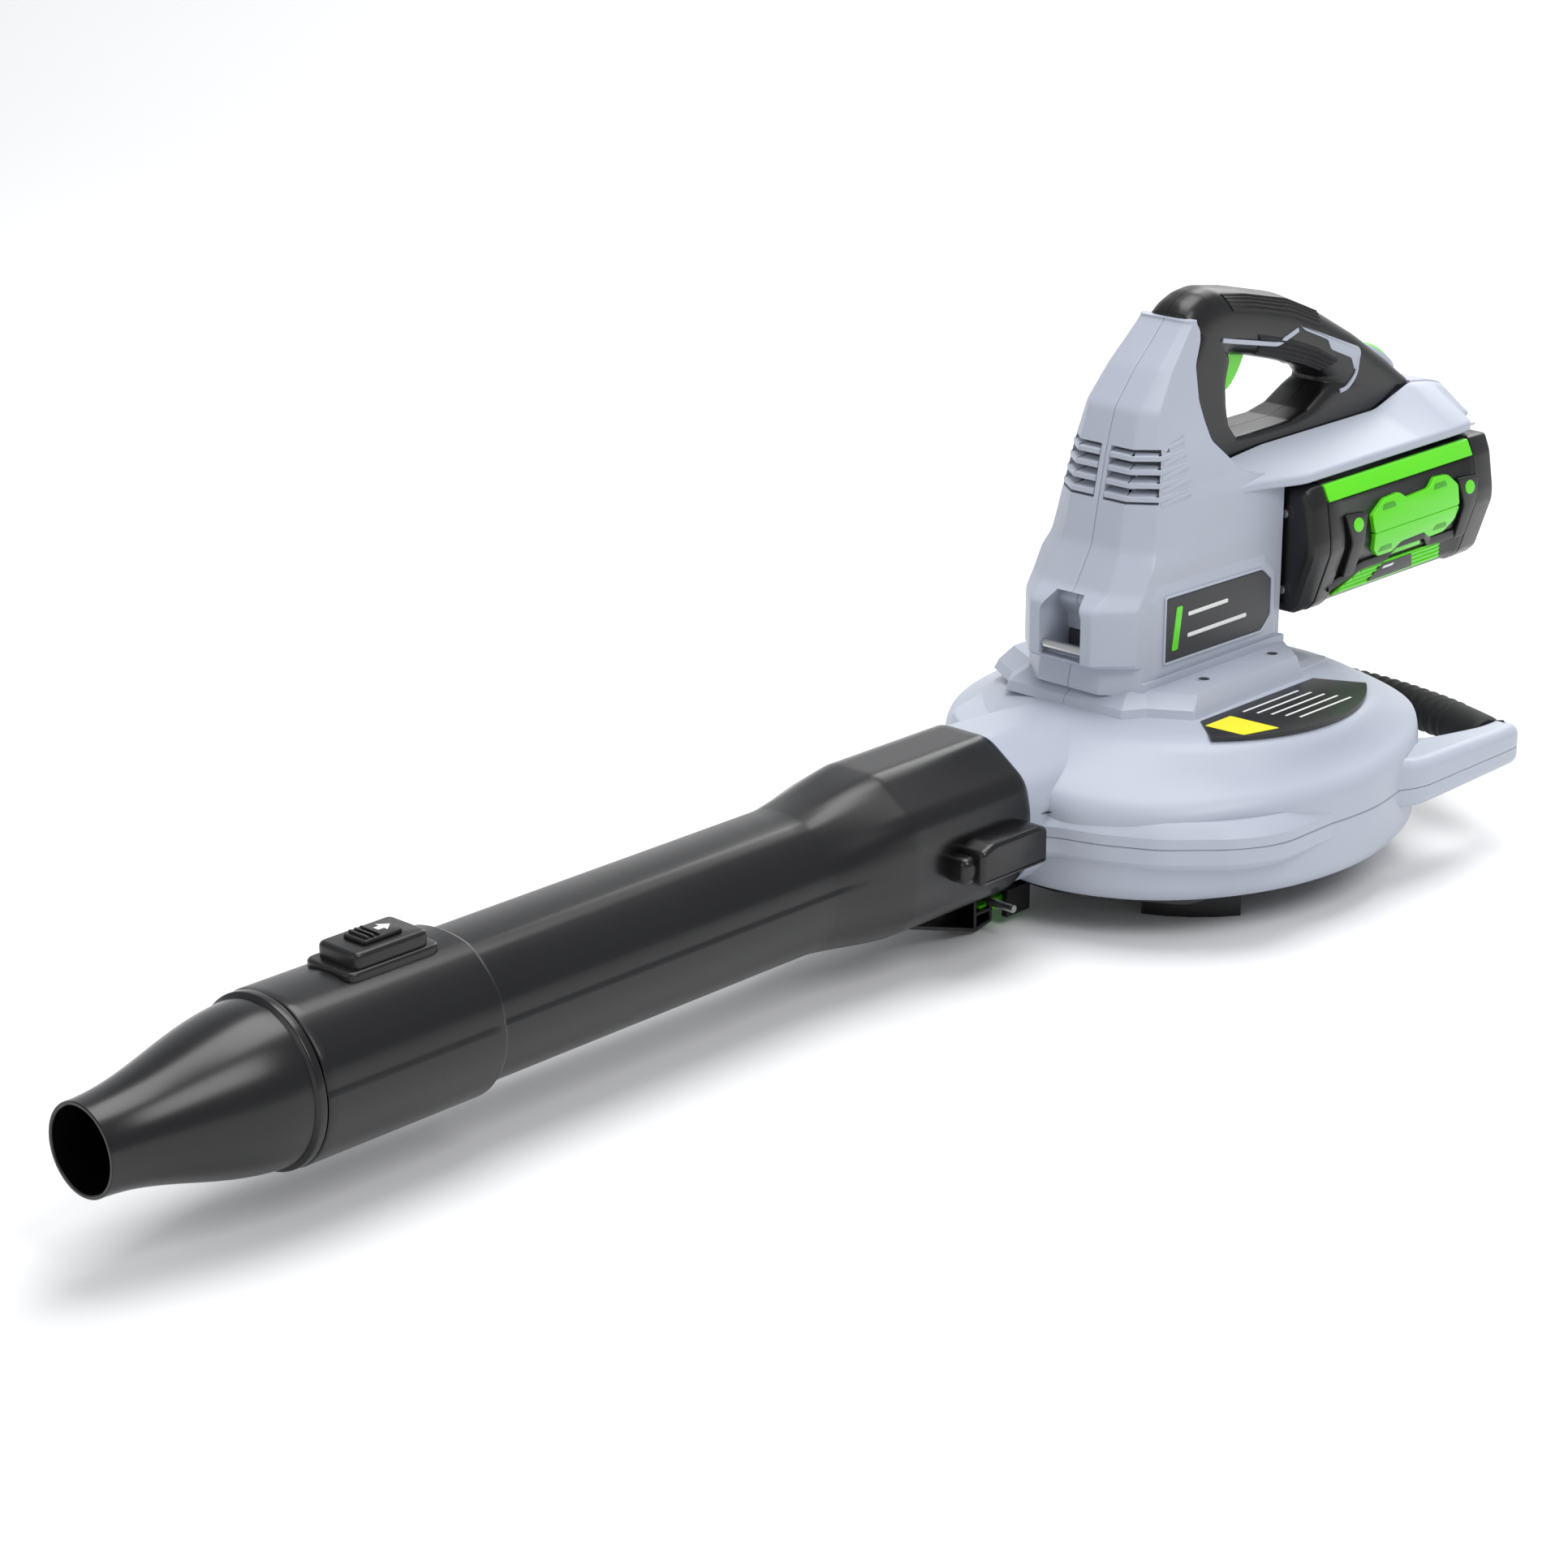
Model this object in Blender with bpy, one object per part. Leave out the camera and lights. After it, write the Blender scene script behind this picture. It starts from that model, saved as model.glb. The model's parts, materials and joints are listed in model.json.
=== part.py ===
"""A hand-held cordless leaf blower: scroll casing, fan and motor, handle, battery and blower tube.

Run it with: blender --background --python part.py
All sizes below are in millimetres, and MM turns them into Blender's metres. The pieces are built in the
fan's own frame: X runs forward along the air stream, Y to the left, Z up, and the fan turns about Z at
x = 0, y = 0. Z = 0 is the ground under the feet. The tube, tower, handle and battery share one vertical
plane beside the fan axis, the handle plane, and v is the distance from that plane.
"""

import math

import bmesh
import bpy
from mathutils import Vector

MM = 0.001
GAP = 0.3            # air between two pieces that touch
WALL = 3.0           # moulded wall

# Scroll casing
SEAM_Z = 66.0        # height of the seam between the two casing halves
SCROLL_R = 150.0     # casing radius away from the cut-off
CUTOFF_DIP = 13.0    # how far the wall comes in beside the cut-off
CUTOFF_ANGLE = 80.0
CUTOFF_SPREAD = 60.0
FLOOR_Z = 26.0       # underside of the casing
SHOULDER_Z = 99.0
CONE_TOP_Z = 116.0
DOME_Z = 120.0
CONE_WIDTH = 28.0
INTAKE_R = 66.0
MOTOR_HOLE_R = 46.0
FLANGE_HALF = 10.0   # half height of the seam flange
DOOR_PIN_R = 1.5
DOOR_HINGE = (-60.0, 0.0, FLOOR_Z - 5.5)
DOOR_THICK = 5.0
RING_R = 112.0
RING_DEEP = 6.0
FOOT_ANGLES = (40, 160, 280)
# Plan outline of the seam flange on the near side, as (x, y).
FLANGE = [(178, 4), (168, 27), (158, 62), (143, 92), (110, 120), (92, 131), (76, 136), (30, 136.5), (20, 110),
          (110, 40)]

# Handle plane and air outlet
HANDLE_Y = -32.0
TUBE_Z = 72.0        # height of the tube axis
OUTLET_X = 182.0     # front face of the casing's duct
DUCT_DROP = 0.86     # height of the duct's roof under the tower, as a share of its height at the outlet
SPIGOT_R = 46.0
SPIGOT_END_X = 240.0
SLIDE_FIT = 0.6      # radial air around the spigot and the nozzle

# Blower tube and nozzle
TUBE_R = 45.0
TUBE_WALL = 2.8
COUPLING_END_X = 290.0
TAPER_END_X = 352.0
SOCKET_R = 49.5
SOCKET_START_X = 612.0
SOCKET_END_X = 739.0
NOZZLE_INSERT = 80.0
MOUTH_X = 860.0
MOUTH_R = 26.0
NOZZLE_WALL = 2.4
NOZZLE_LATCH_X = 664.0
LATCH_TOP_Z = 131.0
# Right half of the coupling's outline round the tube axis, as (v, height over the axis).
COUPLING = [(18, 54.5), (49, 33), (53, 13), (52, -10), (48, -28), (38, -40), (20, -50)]
CATCH_AT = (OUTLET_X + 2, 0, 19)
CATCH_PIN_R = 2.5
HOOK_AT = (162, 0, 13)
HOOK_PIN_R = 2.0

# Fan and motor
IMPELLER_R = 104.0
IMPELLER_LOW_Z = 34.0
IMPELLER_TOP_Z = 84.0
BLADES = 9
MOTOR_R = 36.0
MOTOR_LOW_Z = 92.0
MOTOR_TOP_Z = 128.0
SHAFT_R = 4.0

# Tower, collar and handle
COLLAR_TOP_Z = 133.0
TOWER_FRONT_X = 94.5   # front of the block that holds the strap bar
TOWER_REAR_X = -76.0
TOWER_HALF = 45.0
STRAP_HALF = 16.0     # half width of the strap's recess
REAR_X = -306.0      # rear end of the housing's nose
BEAM_Z = 239.0       # underside of the battery beam
BEAM_HALF = 57.0
FRAME_HALF = 20.0
# Line where the handle sits on the housing, as (x, z).
SADDLE = [(-14, 345.5), (-10.5, 335), (-4.7, 325), (-9, 290), (-12, 277), (-39, 252.6), (-60, 248.2),
          (TOWER_REAR_X, 244.6)]
# Side outline of the tower, with the half width of its front face, the depth of its chamfer and its half
# width at each point.
TOWER = [(86, COLLAR_TOP_Z - 3), (TOWER_FRONT_X, 149), (TOWER_FRONT_X, 184.5), (80, 195), (66, 219), (63, 232), (53, 280),
         (46, 303), (26.8, 325.2), (-2.5, 352.6), *SADDLE, (TOWER_REAR_X, COLLAR_TOP_Z - 3)]
TOWER_EDGE = [24.5, 24.5, 24.5, 26.5, 23, 22, 21, 20, 19, 16, 18, 19, 20, 23, 26, 30, 36, 40, 40]
TOWER_INSET = [16, 20, 20, 13, 12, 12, 12, 9, 6, 3, 3, 4, 5, 7, 8, 8, 8, 6, 6]
TOWER_SIDE = [TOWER_HALF, TOWER_HALF, TOWER_HALF, 44, 41, 40, 34, 29, 25, 20.5, 21, 22, 24, 29, 33, 38, 42, TOWER_HALF,
              TOWER_HALF]
# Plan outline of the collar's left half, as (x, v).
COLLAR = [(88, 0), (85, 41), (70, 51), (51, 76), (-58, 73), (-80, 48), (-80, 0)]
# Height of the nose's crest, as (x, z).
NOSE_TOPS = [(-206, 243.8), (-243.2, 270.2), (-262.4, 265.4), (-298, 252), (REAR_X, 243.5)]

# Handle frame and controls, with side outlines as (x, z)
CREST = [(-3, 353.3), (-10, 360.5), (-22, 365.6), (-36, 367), (-64, 362.5), (-109, 352), (-146, 337), (-193, 312),
         (-232, 287), (-262, 266), (-243, 271), (-205, 244.9)]
FRAME = CREST + [(x - 0.45, z + GAP) for x, z in reversed(SADDLE)]
HAND_GAP = [(-59, 320), (-99, 311), (-147, 297), (-155, 290), (-155, 283), (-128, 268), (-59, 268), (-48, 278),
            (-44, 300)]
TRIGGER_PIVOT = (-46.0, 330.0)
TRIGGER = [(-40, 334), (-39, 322), (-46, 306), (-53, 296), (-60, 293), (-68, 297), (-76, 306), (-82, 316),
           (-83, 326), (-60, 334)]
TRIGGER_HALF = 6.0
TRIGGER_PIN_R = 1.7
BUTTON_AT = (-231.5, 286.0)
BUTTON_TILT = math.radians(36)
BUTTON_R = 10.0
BUTTON_DEEP = 9.0    # how far the button's well goes in
LATCH_X = -271.0

# Battery
BATTERY_FRONT_X = -79.0
BATTERY_REAR_X = -296.0
BATTERY_LOW_Z = 151.0
BATTERY_TOP_Z = 236.0
BATTERY_RIDGE_Z = 196.0
BATTERY_HALF = 68.0
CAP_LENGTH = 17.0
REAR_CAP_LENGTH = 34.0
CELL_R = 10.5
CELL_PITCH = 22.0
CONTACT_V = (-15, -5, 5, 15)

# Auxiliary handle
ARM_Y = 140.0
ARM_WIDTH = 22.0
ARM_LOW_Z = 54.0
ARM_TOP_Z = 82.0
AUX_X = -172.0
AUX_BOW = 24.0
AUX_GRIP_R = 14.0
AUX_BAR_R = 7.0

# The frame's origin is the middle of the whole object's footprint.
FAN_X = -(MOUTH_X + REAR_X) / 2
FAN_Y = -(ARM_Y - SCROLL_R) / 2

LOOKS = {
    "grey_shell": ("C8CCD6", 0.42, 0.0),
    "black_shell": ("202122", 0.38, 0.0),
    "black_tube": ("1B1B1C", 0.34, 0.0),
    "rubber_grip": ("1A1A1A", 0.75, 0.0),
    "green_part": ("6EE614", 0.35, 0.0),
    "dark_badge": ("4B4B4B", 0.45, 0.0),
    "label_film": ("1C1C1C", 0.4, 0.0),
    "steel": ("C9C9C6", 0.25, 1.0),
    "motor_steel": ("8E9094", 0.35, 1.0),
    "aluminium": ("B9BCC0", 0.35, 1.0),
    "copper_contact": ("C98F5A", 0.3, 1.0),
    "fan_nylon": ("2C2D30", 0.5, 0.0),
    "cell_wrap": ("3F6FB0", 0.45, 0.0),
    "circuit_board": ("1F5A34", 0.5, 0.0),
}


# ---------------------------------------------------------------- Scene and mesh helpers

def clear_scene():
    """Removes every object that the start-up file holds."""
    for obj in list(bpy.data.objects):
        bpy.data.objects.remove(obj, do_unlink=True)


def linear(channel):
    """One sRGB channel, 0 to 1, as a linear value."""
    if channel <= 0.04045:
        return channel / 12.92
    return ((channel + 0.055) / 1.055) ** 2.4


def look(name):
    """The named Principled material, made on first use."""
    found = bpy.data.materials.get(name)
    if found:
        return found
    code, roughness, metallic = LOOKS[name]
    rgb = [linear(int(code[i:i + 2], 16) / 255) for i in (0, 2, 4)]
    made = bpy.data.materials.new(name)
    made.use_nodes = True
    shader = made.node_tree.nodes["Principled BSDF"]
    shader.inputs["Base Color"].default_value = (*rgb, 1.0)
    shader.inputs["Roughness"].default_value = roughness
    shader.inputs["Metallic"].default_value = metallic
    made.diffuse_color = (*rgb, 1.0)
    return made


def empty(name, place, parent=None):
    """An empty at a place in millimetres under its parent."""
    made = bpy.data.objects.new(name, None)
    made.location = Vector(place) * MM
    made.parent = parent
    bpy.context.scene.collection.objects.link(made)
    return made


def solid(name, points, faces, material=None, parent=None, smooth_angle=None):
    """One object from points in millimetres, with its faces turned outwards. No material makes it a cutter."""
    mesh = bpy.data.meshes.new(name)
    mesh.from_pydata([Vector(point) * MM for point in points], [], faces)
    shape = bmesh.new()
    shape.from_mesh(mesh)
    bmesh.ops.recalc_face_normals(shape, faces=shape.faces)
    shape.to_mesh(mesh)
    shape.free()
    if smooth_angle is not None:
        mesh.shade_smooth()
        mesh.set_sharp_from_angle(angle=math.radians(smooth_angle))
    made = bpy.data.objects.new(name, mesh)
    made.parent = parent
    bpy.context.scene.collection.objects.link(made)
    if material:
        mesh.materials.append(look(material))
    else:
        made.hide_render = True
        made.display_type = "WIRE"
    return made


def combine(obj, other, operation):
    """Joins or cuts obj with a hidden helper."""
    modifier = obj.modifiers.new(f"{operation.lower()}_{other.name}", "BOOLEAN")
    modifier.operation = operation
    modifier.object = other
    modifier.solver = "EXACT"
    return obj


def join(obj, *others):
    """Adds each hidden helper to obj."""
    for other in others:
        combine(obj, other, "UNION")
    return obj


def cut(obj, *others):
    """Takes each hidden helper out of obj."""
    for other in others:
        combine(obj, other, "DIFFERENCE")
    return obj


def mirrored(obj, name):
    """A finished copy of obj on the other side of its parent's XZ plane."""
    graph = bpy.context.evaluated_depsgraph_get()
    mesh = bpy.data.meshes.new_from_object(obj.evaluated_get(graph))
    mesh.name = name
    for vertex in mesh.vertices:
        vertex.co.y = -vertex.co.y
    mesh.flip_normals()
    made = bpy.data.objects.new(name, mesh)
    made.parent = obj.parent
    bpy.context.scene.collection.objects.link(made)
    return made


def loft_mesh(rings, closed=False):
    """Points and faces of a skin over rings of equal count. It is capped, or closed into a loop of rings."""
    count = len(rings[0])
    points = [point for ring in rings for point in ring]
    faces = []
    last = len(rings) if closed else len(rings) - 1
    for r in range(last):
        low = r * count
        high = (r + 1) % len(rings) * count
        for i in range(count):
            j = (i + 1) % count
            faces.append((low + i, low + j, high + j, high + i))
    if not closed:
        faces.append(tuple(range(count))[::-1])
        faces.append(tuple(range(len(points) - count, len(points))))
    return points, faces


def loft(name, rings, material=None, parent=None, closed=False, smooth_angle=None):
    """A solid over a row of rings."""
    points, faces = loft_mesh(rings, closed)
    return solid(name, points, faces, material, parent, smooth_angle)


def side_prism(name, outline, low, high, material=None, parent=None):
    """An (x, z) outline carried along Y from low to high."""
    rings = [[(x, y, z) for x, z in outline] for y in (low, high)]
    return loft(name, rings, material, parent)


def plan_prism(name, outline, low, high, material=None, parent=None):
    """An (x, y) outline carried along Z from low to high."""
    rings = [[(x, y, z) for x, y in outline] for z in (low, high)]
    return loft(name, rings, material, parent)


def front_prism(name, outline, low, high, material=None, parent=None):
    """A (y, z) outline carried along X from low to high."""
    rings = [[(x, y, z) for y, z in outline] for x in (low, high)]
    return loft(name, rings, material, parent)


def box(name, low, high, material=None, parent=None):
    """A block between two corners."""
    outline = [(low[0], low[1]), (high[0], low[1]), (high[0], high[1]), (low[0], high[1])]
    return plan_prism(name, outline, low[2], high[2], material, parent)


def circle(radius, steps, centre=(0.0, 0.0), turn=0.0):
    """Points around a circle."""
    angles = [2 * math.pi * i / steps + turn for i in range(steps)]
    return [(centre[0] + radius * math.cos(a), centre[1] + radius * math.sin(a)) for a in angles]


def box_mesh(low, high):
    """Points and faces of a block, for a helper."""
    outline = [(low[0], low[1]), (high[0], low[1]), (high[0], high[1]), (low[0], high[1])]
    return loft_mesh([[(x, y, z) for x, y in outline] for z in (low[2], high[2])])


def turned_mesh(profile, steps, axis, centre):
    """A closed (radius, height) profile turned about an axis through centre."""
    rings = []
    for i in range(steps):
        angle = 2 * math.pi * i / steps
        c, s = math.cos(angle), math.sin(angle)
        spots = {
            "X": lambda r, h: (h, r * c, r * s),
            "Y": lambda r, h: (r * c, h, r * s),
            "Z": lambda r, h: (r * c, r * s, h),
        }
        ring = [Vector(spots[axis](r, h)) + Vector(centre) for r, h in profile]
        rings.append(ring)
    return loft_mesh(rings, closed=True)


def turned(name, profile, steps, axis="Z", centre=(0, 0, 0), material=None, parent=None):
    """A ring-shaped solid: its profile stays clear of the axis."""
    points, faces = turned_mesh(profile, steps, axis, centre)
    return solid(name, points, faces, material, parent, 35)


def rod(name, radius, low, high, steps, axis="Z", centre=(0, 0, 0), material=None, parent=None):
    """A round bar along an axis."""
    rings = []
    for h in (low, high):
        spots = {
            "X": [(h, a, b) for a, b in circle(radius, steps)],
            "Y": [(a, h, b) for a, b in circle(radius, steps)],
            "Z": [(a, b, h) for a, b in circle(radius, steps)],
        }
        rings.append([Vector(spot) + Vector(centre) for spot in spots[axis]])
    return loft(name, rings, material, parent, smooth_angle=35)


def helpers(name, pieces, parent):
    """Several separate solids as one hidden helper. Each piece is a pair of points and faces."""
    points, faces = [], []
    for piece_points, piece_faces in pieces:
        start = len(points)
        points += piece_points
        faces += [tuple(start + i for i in face) for face in piece_faces]
    return solid(name, points, faces, parent=parent)


def rod_mesh(radius, low, high, steps, axis, centre):
    """Points and faces of a round bar, for a helper."""
    rings = []
    for h in (low, high):
        spots = {
            "X": [(h, a, b) for a, b in circle(radius, steps)],
            "Y": [(a, h, b) for a, b in circle(radius, steps)],
            "Z": [(a, b, h) for a, b in circle(radius, steps)],
        }
        rings.append([Vector(spot) + Vector(centre) for spot in spots[axis]])
    return loft_mesh(rings)


def inset(outline, distance):
    """The outline moved inwards by a distance, corner by corner. It runs either way round."""
    area = sum(a[0] * b[1] - b[0] * a[1] for a, b in zip(outline, outline[1:] + outline[:1]))
    side = math.copysign(distance, area)
    moved = []
    for i, spot in enumerate(outline):
        before = Vector(spot) - Vector(outline[i - 1])
        after = Vector(outline[(i + 1) % len(outline)]) - Vector(spot)
        before.normalize()
        after.normalize()
        normal = Vector((-before.y - after.y, before.x + after.x))
        scale = side / max(0.35, normal.dot(Vector((-before.y, before.x))))
        moved.append((spot[0] + normal.x * scale, spot[1] + normal.y * scale))
    return moved


# ---------------------------------------------------------------- Scroll casing

def wall_radius(angle):
    """Radius of the casing's wall at an angle in degrees. It comes in beside the cut-off."""
    away = abs(angle - CUTOFF_ANGLE)
    if away > CUTOFF_SPREAD:
        return SCROLL_R
    return SCROLL_R - CUTOFF_DIP * math.cos(math.pi / 2 * away / CUTOFF_SPREAD) ** 2


def scroll_outline(shrink):
    """Plan outline of the scroll, without its duct, moved in by shrink."""
    steps = 40
    angles = [360.0 * i / steps for i in range(steps)]
    spots = []
    for angle in angles:
        radius = wall_radius(angle) - shrink
        turn = math.radians(angle)
        spots.append((radius * math.cos(turn), radius * math.sin(turn)))
    return spots


def scroll_rings(levels):
    """Rings of the scroll at (height, shrink) levels."""
    return [[(x, y, z) for x, y in scroll_outline(shrink)] for z, shrink in levels]


def duct_section(shrink, upper):
    """Upper or lower half of the air duct's section, as (v, z) offsets from the tube axis."""
    top = 53.0 - shrink
    low = TUBE_Z - FLOOR_Z - 0.2 - shrink
    side = 52.0 - shrink
    seam = SEAM_Z - TUBE_Z
    if upper:
        edge = seam + GAP / 2
        return [(-side, edge), (-side, 14.0), (-side + 4, 32.0), (-18, top), (18, top),
                (side - 4, 32.0), (side, 14.0), (side, edge)]
    edge = seam - GAP / 2
    return [(side, edge), (side - 3, -26.0), (side - 12, -36.0), (20, -low), (-20, -low),
            (-side + 12, -36.0), (-side + 3, -26.0), (-side, edge)]


def duct(name, shrink, upper, start, end, parent, flare=0.0):
    """Half of the duct from the scroll to the outlet. Its near side opens out towards the scroll by flare."""
    section = duct_section(shrink, upper)
    front = [(end, HANDLE_Y + v, TUBE_Z + z) for v, z in section]
    drop = DUCT_DROP if upper else 1.0
    rear = [(start, HANDLE_Y + v + (flare if v > 0 else -flare / 2), TUBE_Z + (z * drop if z > 0 else z))
            for v, z in section]
    return loft(name, [rear, front], parent=parent)


def half_disc(radius, upper, steps=16):
    """Half circle as (v, z) offsets from the tube axis, cut at the casing's seam."""
    edge = SEAM_Z - TUBE_Z + (GAP / 2 if upper else -GAP / 2)
    start = math.asin(edge / radius)
    if upper:
        angles = [start + (math.pi - 2 * start) * i / steps for i in range(steps + 1)]
    else:
        angles = [start - (math.pi + 2 * start) * i / steps for i in range(steps + 1)]
    return [(radius * math.cos(a), radius * math.sin(a)) for a in angles]


def duct_block(name, radius, upper, low, high, parent):
    """Half a round bar along the tube axis."""
    section = [(HANDLE_Y + v, TUBE_Z + z) for v, z in half_disc(radius, upper)]
    return front_prism(name, section, low, high, parent=parent)


def arm_outline(side):
    """Plan outline of one arm of the auxiliary handle, on the left (1) or the right (-1)."""
    inner = ARM_Y - ARM_WIDTH
    spots = [(-44, ARM_Y), (-150, ARM_Y), (AUX_X + 6, ARM_Y - 5), (AUX_X - 2, ARM_Y - 13), (AUX_X - 2, inner),
             (AUX_X + 18, inner), (-90, inner - 8), (-70, 100)]
    return [(x, side * y) for x, y in spots]


def past_seam(obj, seam, distance):
    """Moves a cutter's flat face from the seam by a distance, so that it cuts right through."""
    for vertex in obj.data.vertices:
        if abs(vertex.co.z / MM - seam) < GAP:
            vertex.co.z += distance * MM


def scroll_half(name, upper, parent):
    """One half of the casing: scroll, duct, flange and arms, hollowed out."""
    tag = "upper" if upper else "lower"
    seam = SEAM_Z + (GAP / 2 if upper else -GAP / 2)
    if upper:
        skin = [(seam, 0), (SHOULDER_Z - 7, 1), (SHOULDER_Z, 6), (CONE_TOP_Z, CONE_WIDTH), (DOME_Z, 42)]
        hollow = [(seam - 5, WALL), (SHOULDER_Z - 8, WALL + 1), (SHOULDER_Z - 3, 9),
                  (CONE_TOP_Z - 4, CONE_WIDTH + 3), (DOME_Z - WALL, 46)]
        flange_levels = [(seam, 0.1), (seam + 8, 0.1), (seam + FLANGE_HALF + 4, 8)]
        arm = (seam, ARM_TOP_Z)
        hole = (DOME_Z - 10, DOME_Z + 5, MOTOR_HOLE_R)
    else:
        skin = [(FLOOR_Z, 9), (FLOOR_Z + 7, 2), (seam, 0)]
        hollow = [(FLOOR_Z + WALL, 12), (FLOOR_Z + 9, WALL + 2), (seam + 5, WALL)]
        flange_levels = [(seam - FLANGE_HALF - 2, 6), (seam - FLANGE_HALF, 0.1), (seam, 0.1)]
        arm = (ARM_LOW_Z, seam)
        hole = (FLOOR_Z - 5, FLOOR_Z + 8, INTAKE_R)
    shell = loft(name, scroll_rings(skin), "grey_shell", parent, smooth_angle=30)
    flange = loft(f"{tag}_flange", [[(x, y, z) for x, y in inset(FLANGE, s)] for z, s in flange_levels],
                  parent=parent)
    arms = [plan_prism(f"{tag}_arm_{side}", arm_outline(side), *arm, parent=parent) for side in (1, -1)]
    reach = duct(f"{tag}_duct", 0, upper, 70, OUTLET_X, parent, 14)
    spigot = duct_block(f"{tag}_spigot", SPIGOT_R, upper, OUTLET_X - 20, SPIGOT_END_X, parent)
    join(shell, reach, spigot, flange, *arms)
    cavity = loft(f"{tag}_cavity", scroll_rings(hollow), parent=parent)
    room = duct(f"{tag}_duct_room", WALL + 1, upper, 40, OUTLET_X - WALL, parent, 12)
    past_seam(room, seam, -6 if upper else 6)
    bore = duct_block(f"{tag}_bore", SPIGOT_R - WALL, upper, OUTLET_X - 30, SPIGOT_END_X + 5, parent)
    past_seam(bore, seam, -6 if upper else 6)
    opening = rod(f"{tag}_opening", hole[2], hole[0], hole[1], 32, parent=parent)
    return cut(shell, cavity, room, bore, opening)


def intake_pieces(parent, door_hinge):
    """Ring with three feet under the casing, and the hinged grille inside it."""
    ring_low = FLOOR_Z - GAP - RING_DEEP
    profile = [(INTAKE_R + 6, ring_low), (RING_R, ring_low), (RING_R, FLOOR_Z - GAP), (INTAKE_R + 6, FLOOR_Z - GAP)]
    ring = turned("intake_ring", profile, 36, material="black_shell", parent=parent)
    for i, middle in enumerate(FOOT_ANGLES):
        angles = [math.radians(middle + step) for step in (-17, -8.5, 0, 8.5, 17)]
        outline = [((RING_R - 6) * math.cos(a), (RING_R - 6) * math.sin(a)) for a in angles]
        outline += [((RING_R - 17) * math.cos(a), (RING_R - 17) * math.sin(a)) for a in reversed(angles)]
        join(ring, plan_prism(f"foot_{i}", outline, 0, ring_low + 2, parent=parent))
    pin_bore = DOOR_PIN_R + GAP
    cut(ring, rod("ring_pin_bore", pin_bore, -46, 46, 12, "Y", DOOR_HINGE, parent=parent))
    rod("door_hinge_pin", DOOR_PIN_R, -43, 43, 12, "Y", DOOR_HINGE, "steel", parent)
    disc = rod("intake_door", INTAKE_R + 4, -DOOR_THICK / 2, DOOR_THICK / 2, 36, centre=(-DOOR_HINGE[0], 0, 0),
               material="black_shell", parent=door_hinge)
    slots = [box_mesh((-90, -90, -9), (-pin_bore - 1.4, 90, 9))]
    for i in range(-3, 4):
        reach = math.sqrt((INTAKE_R - 8) ** 2 - (i * 16.0) ** 2)
        rear = max(6.0, -DOOR_HINGE[0] - reach)
        slots.append(box_mesh((rear, i * 16 - 5, -9), (-DOOR_HINGE[0] + reach, i * 16 + 5, 9)))
    cut(disc, helpers("door_slots", slots, door_hinge))
    cut(disc, rod("door_bore", pin_bore, -80, 80, 12, "Y", parent=door_hinge))


# ---------------------------------------------------------------- Fan and motor

def impeller_outline():
    """Plan outline of the hub with its backward-curved blades."""
    hub, thick, lean = 17.0, 1.5, 42.0
    spots = []
    for blade in range(BLADES):
        base = 360.0 * blade / BLADES
        radii = [hub, hub + (IMPELLER_R - hub) / 3, hub + 2 * (IMPELLER_R - hub) / 3, IMPELLER_R - 1]
        sides = [(r, -1) for r in radii] + [(r, 1) for r in reversed(radii)]
        for radius, side in sides:
            turn = math.radians(base - lean * (radius - hub) / (IMPELLER_R - hub)) + side * thick / radius
            spots.append((radius * math.cos(turn), radius * math.sin(turn)))
    return spots


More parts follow.
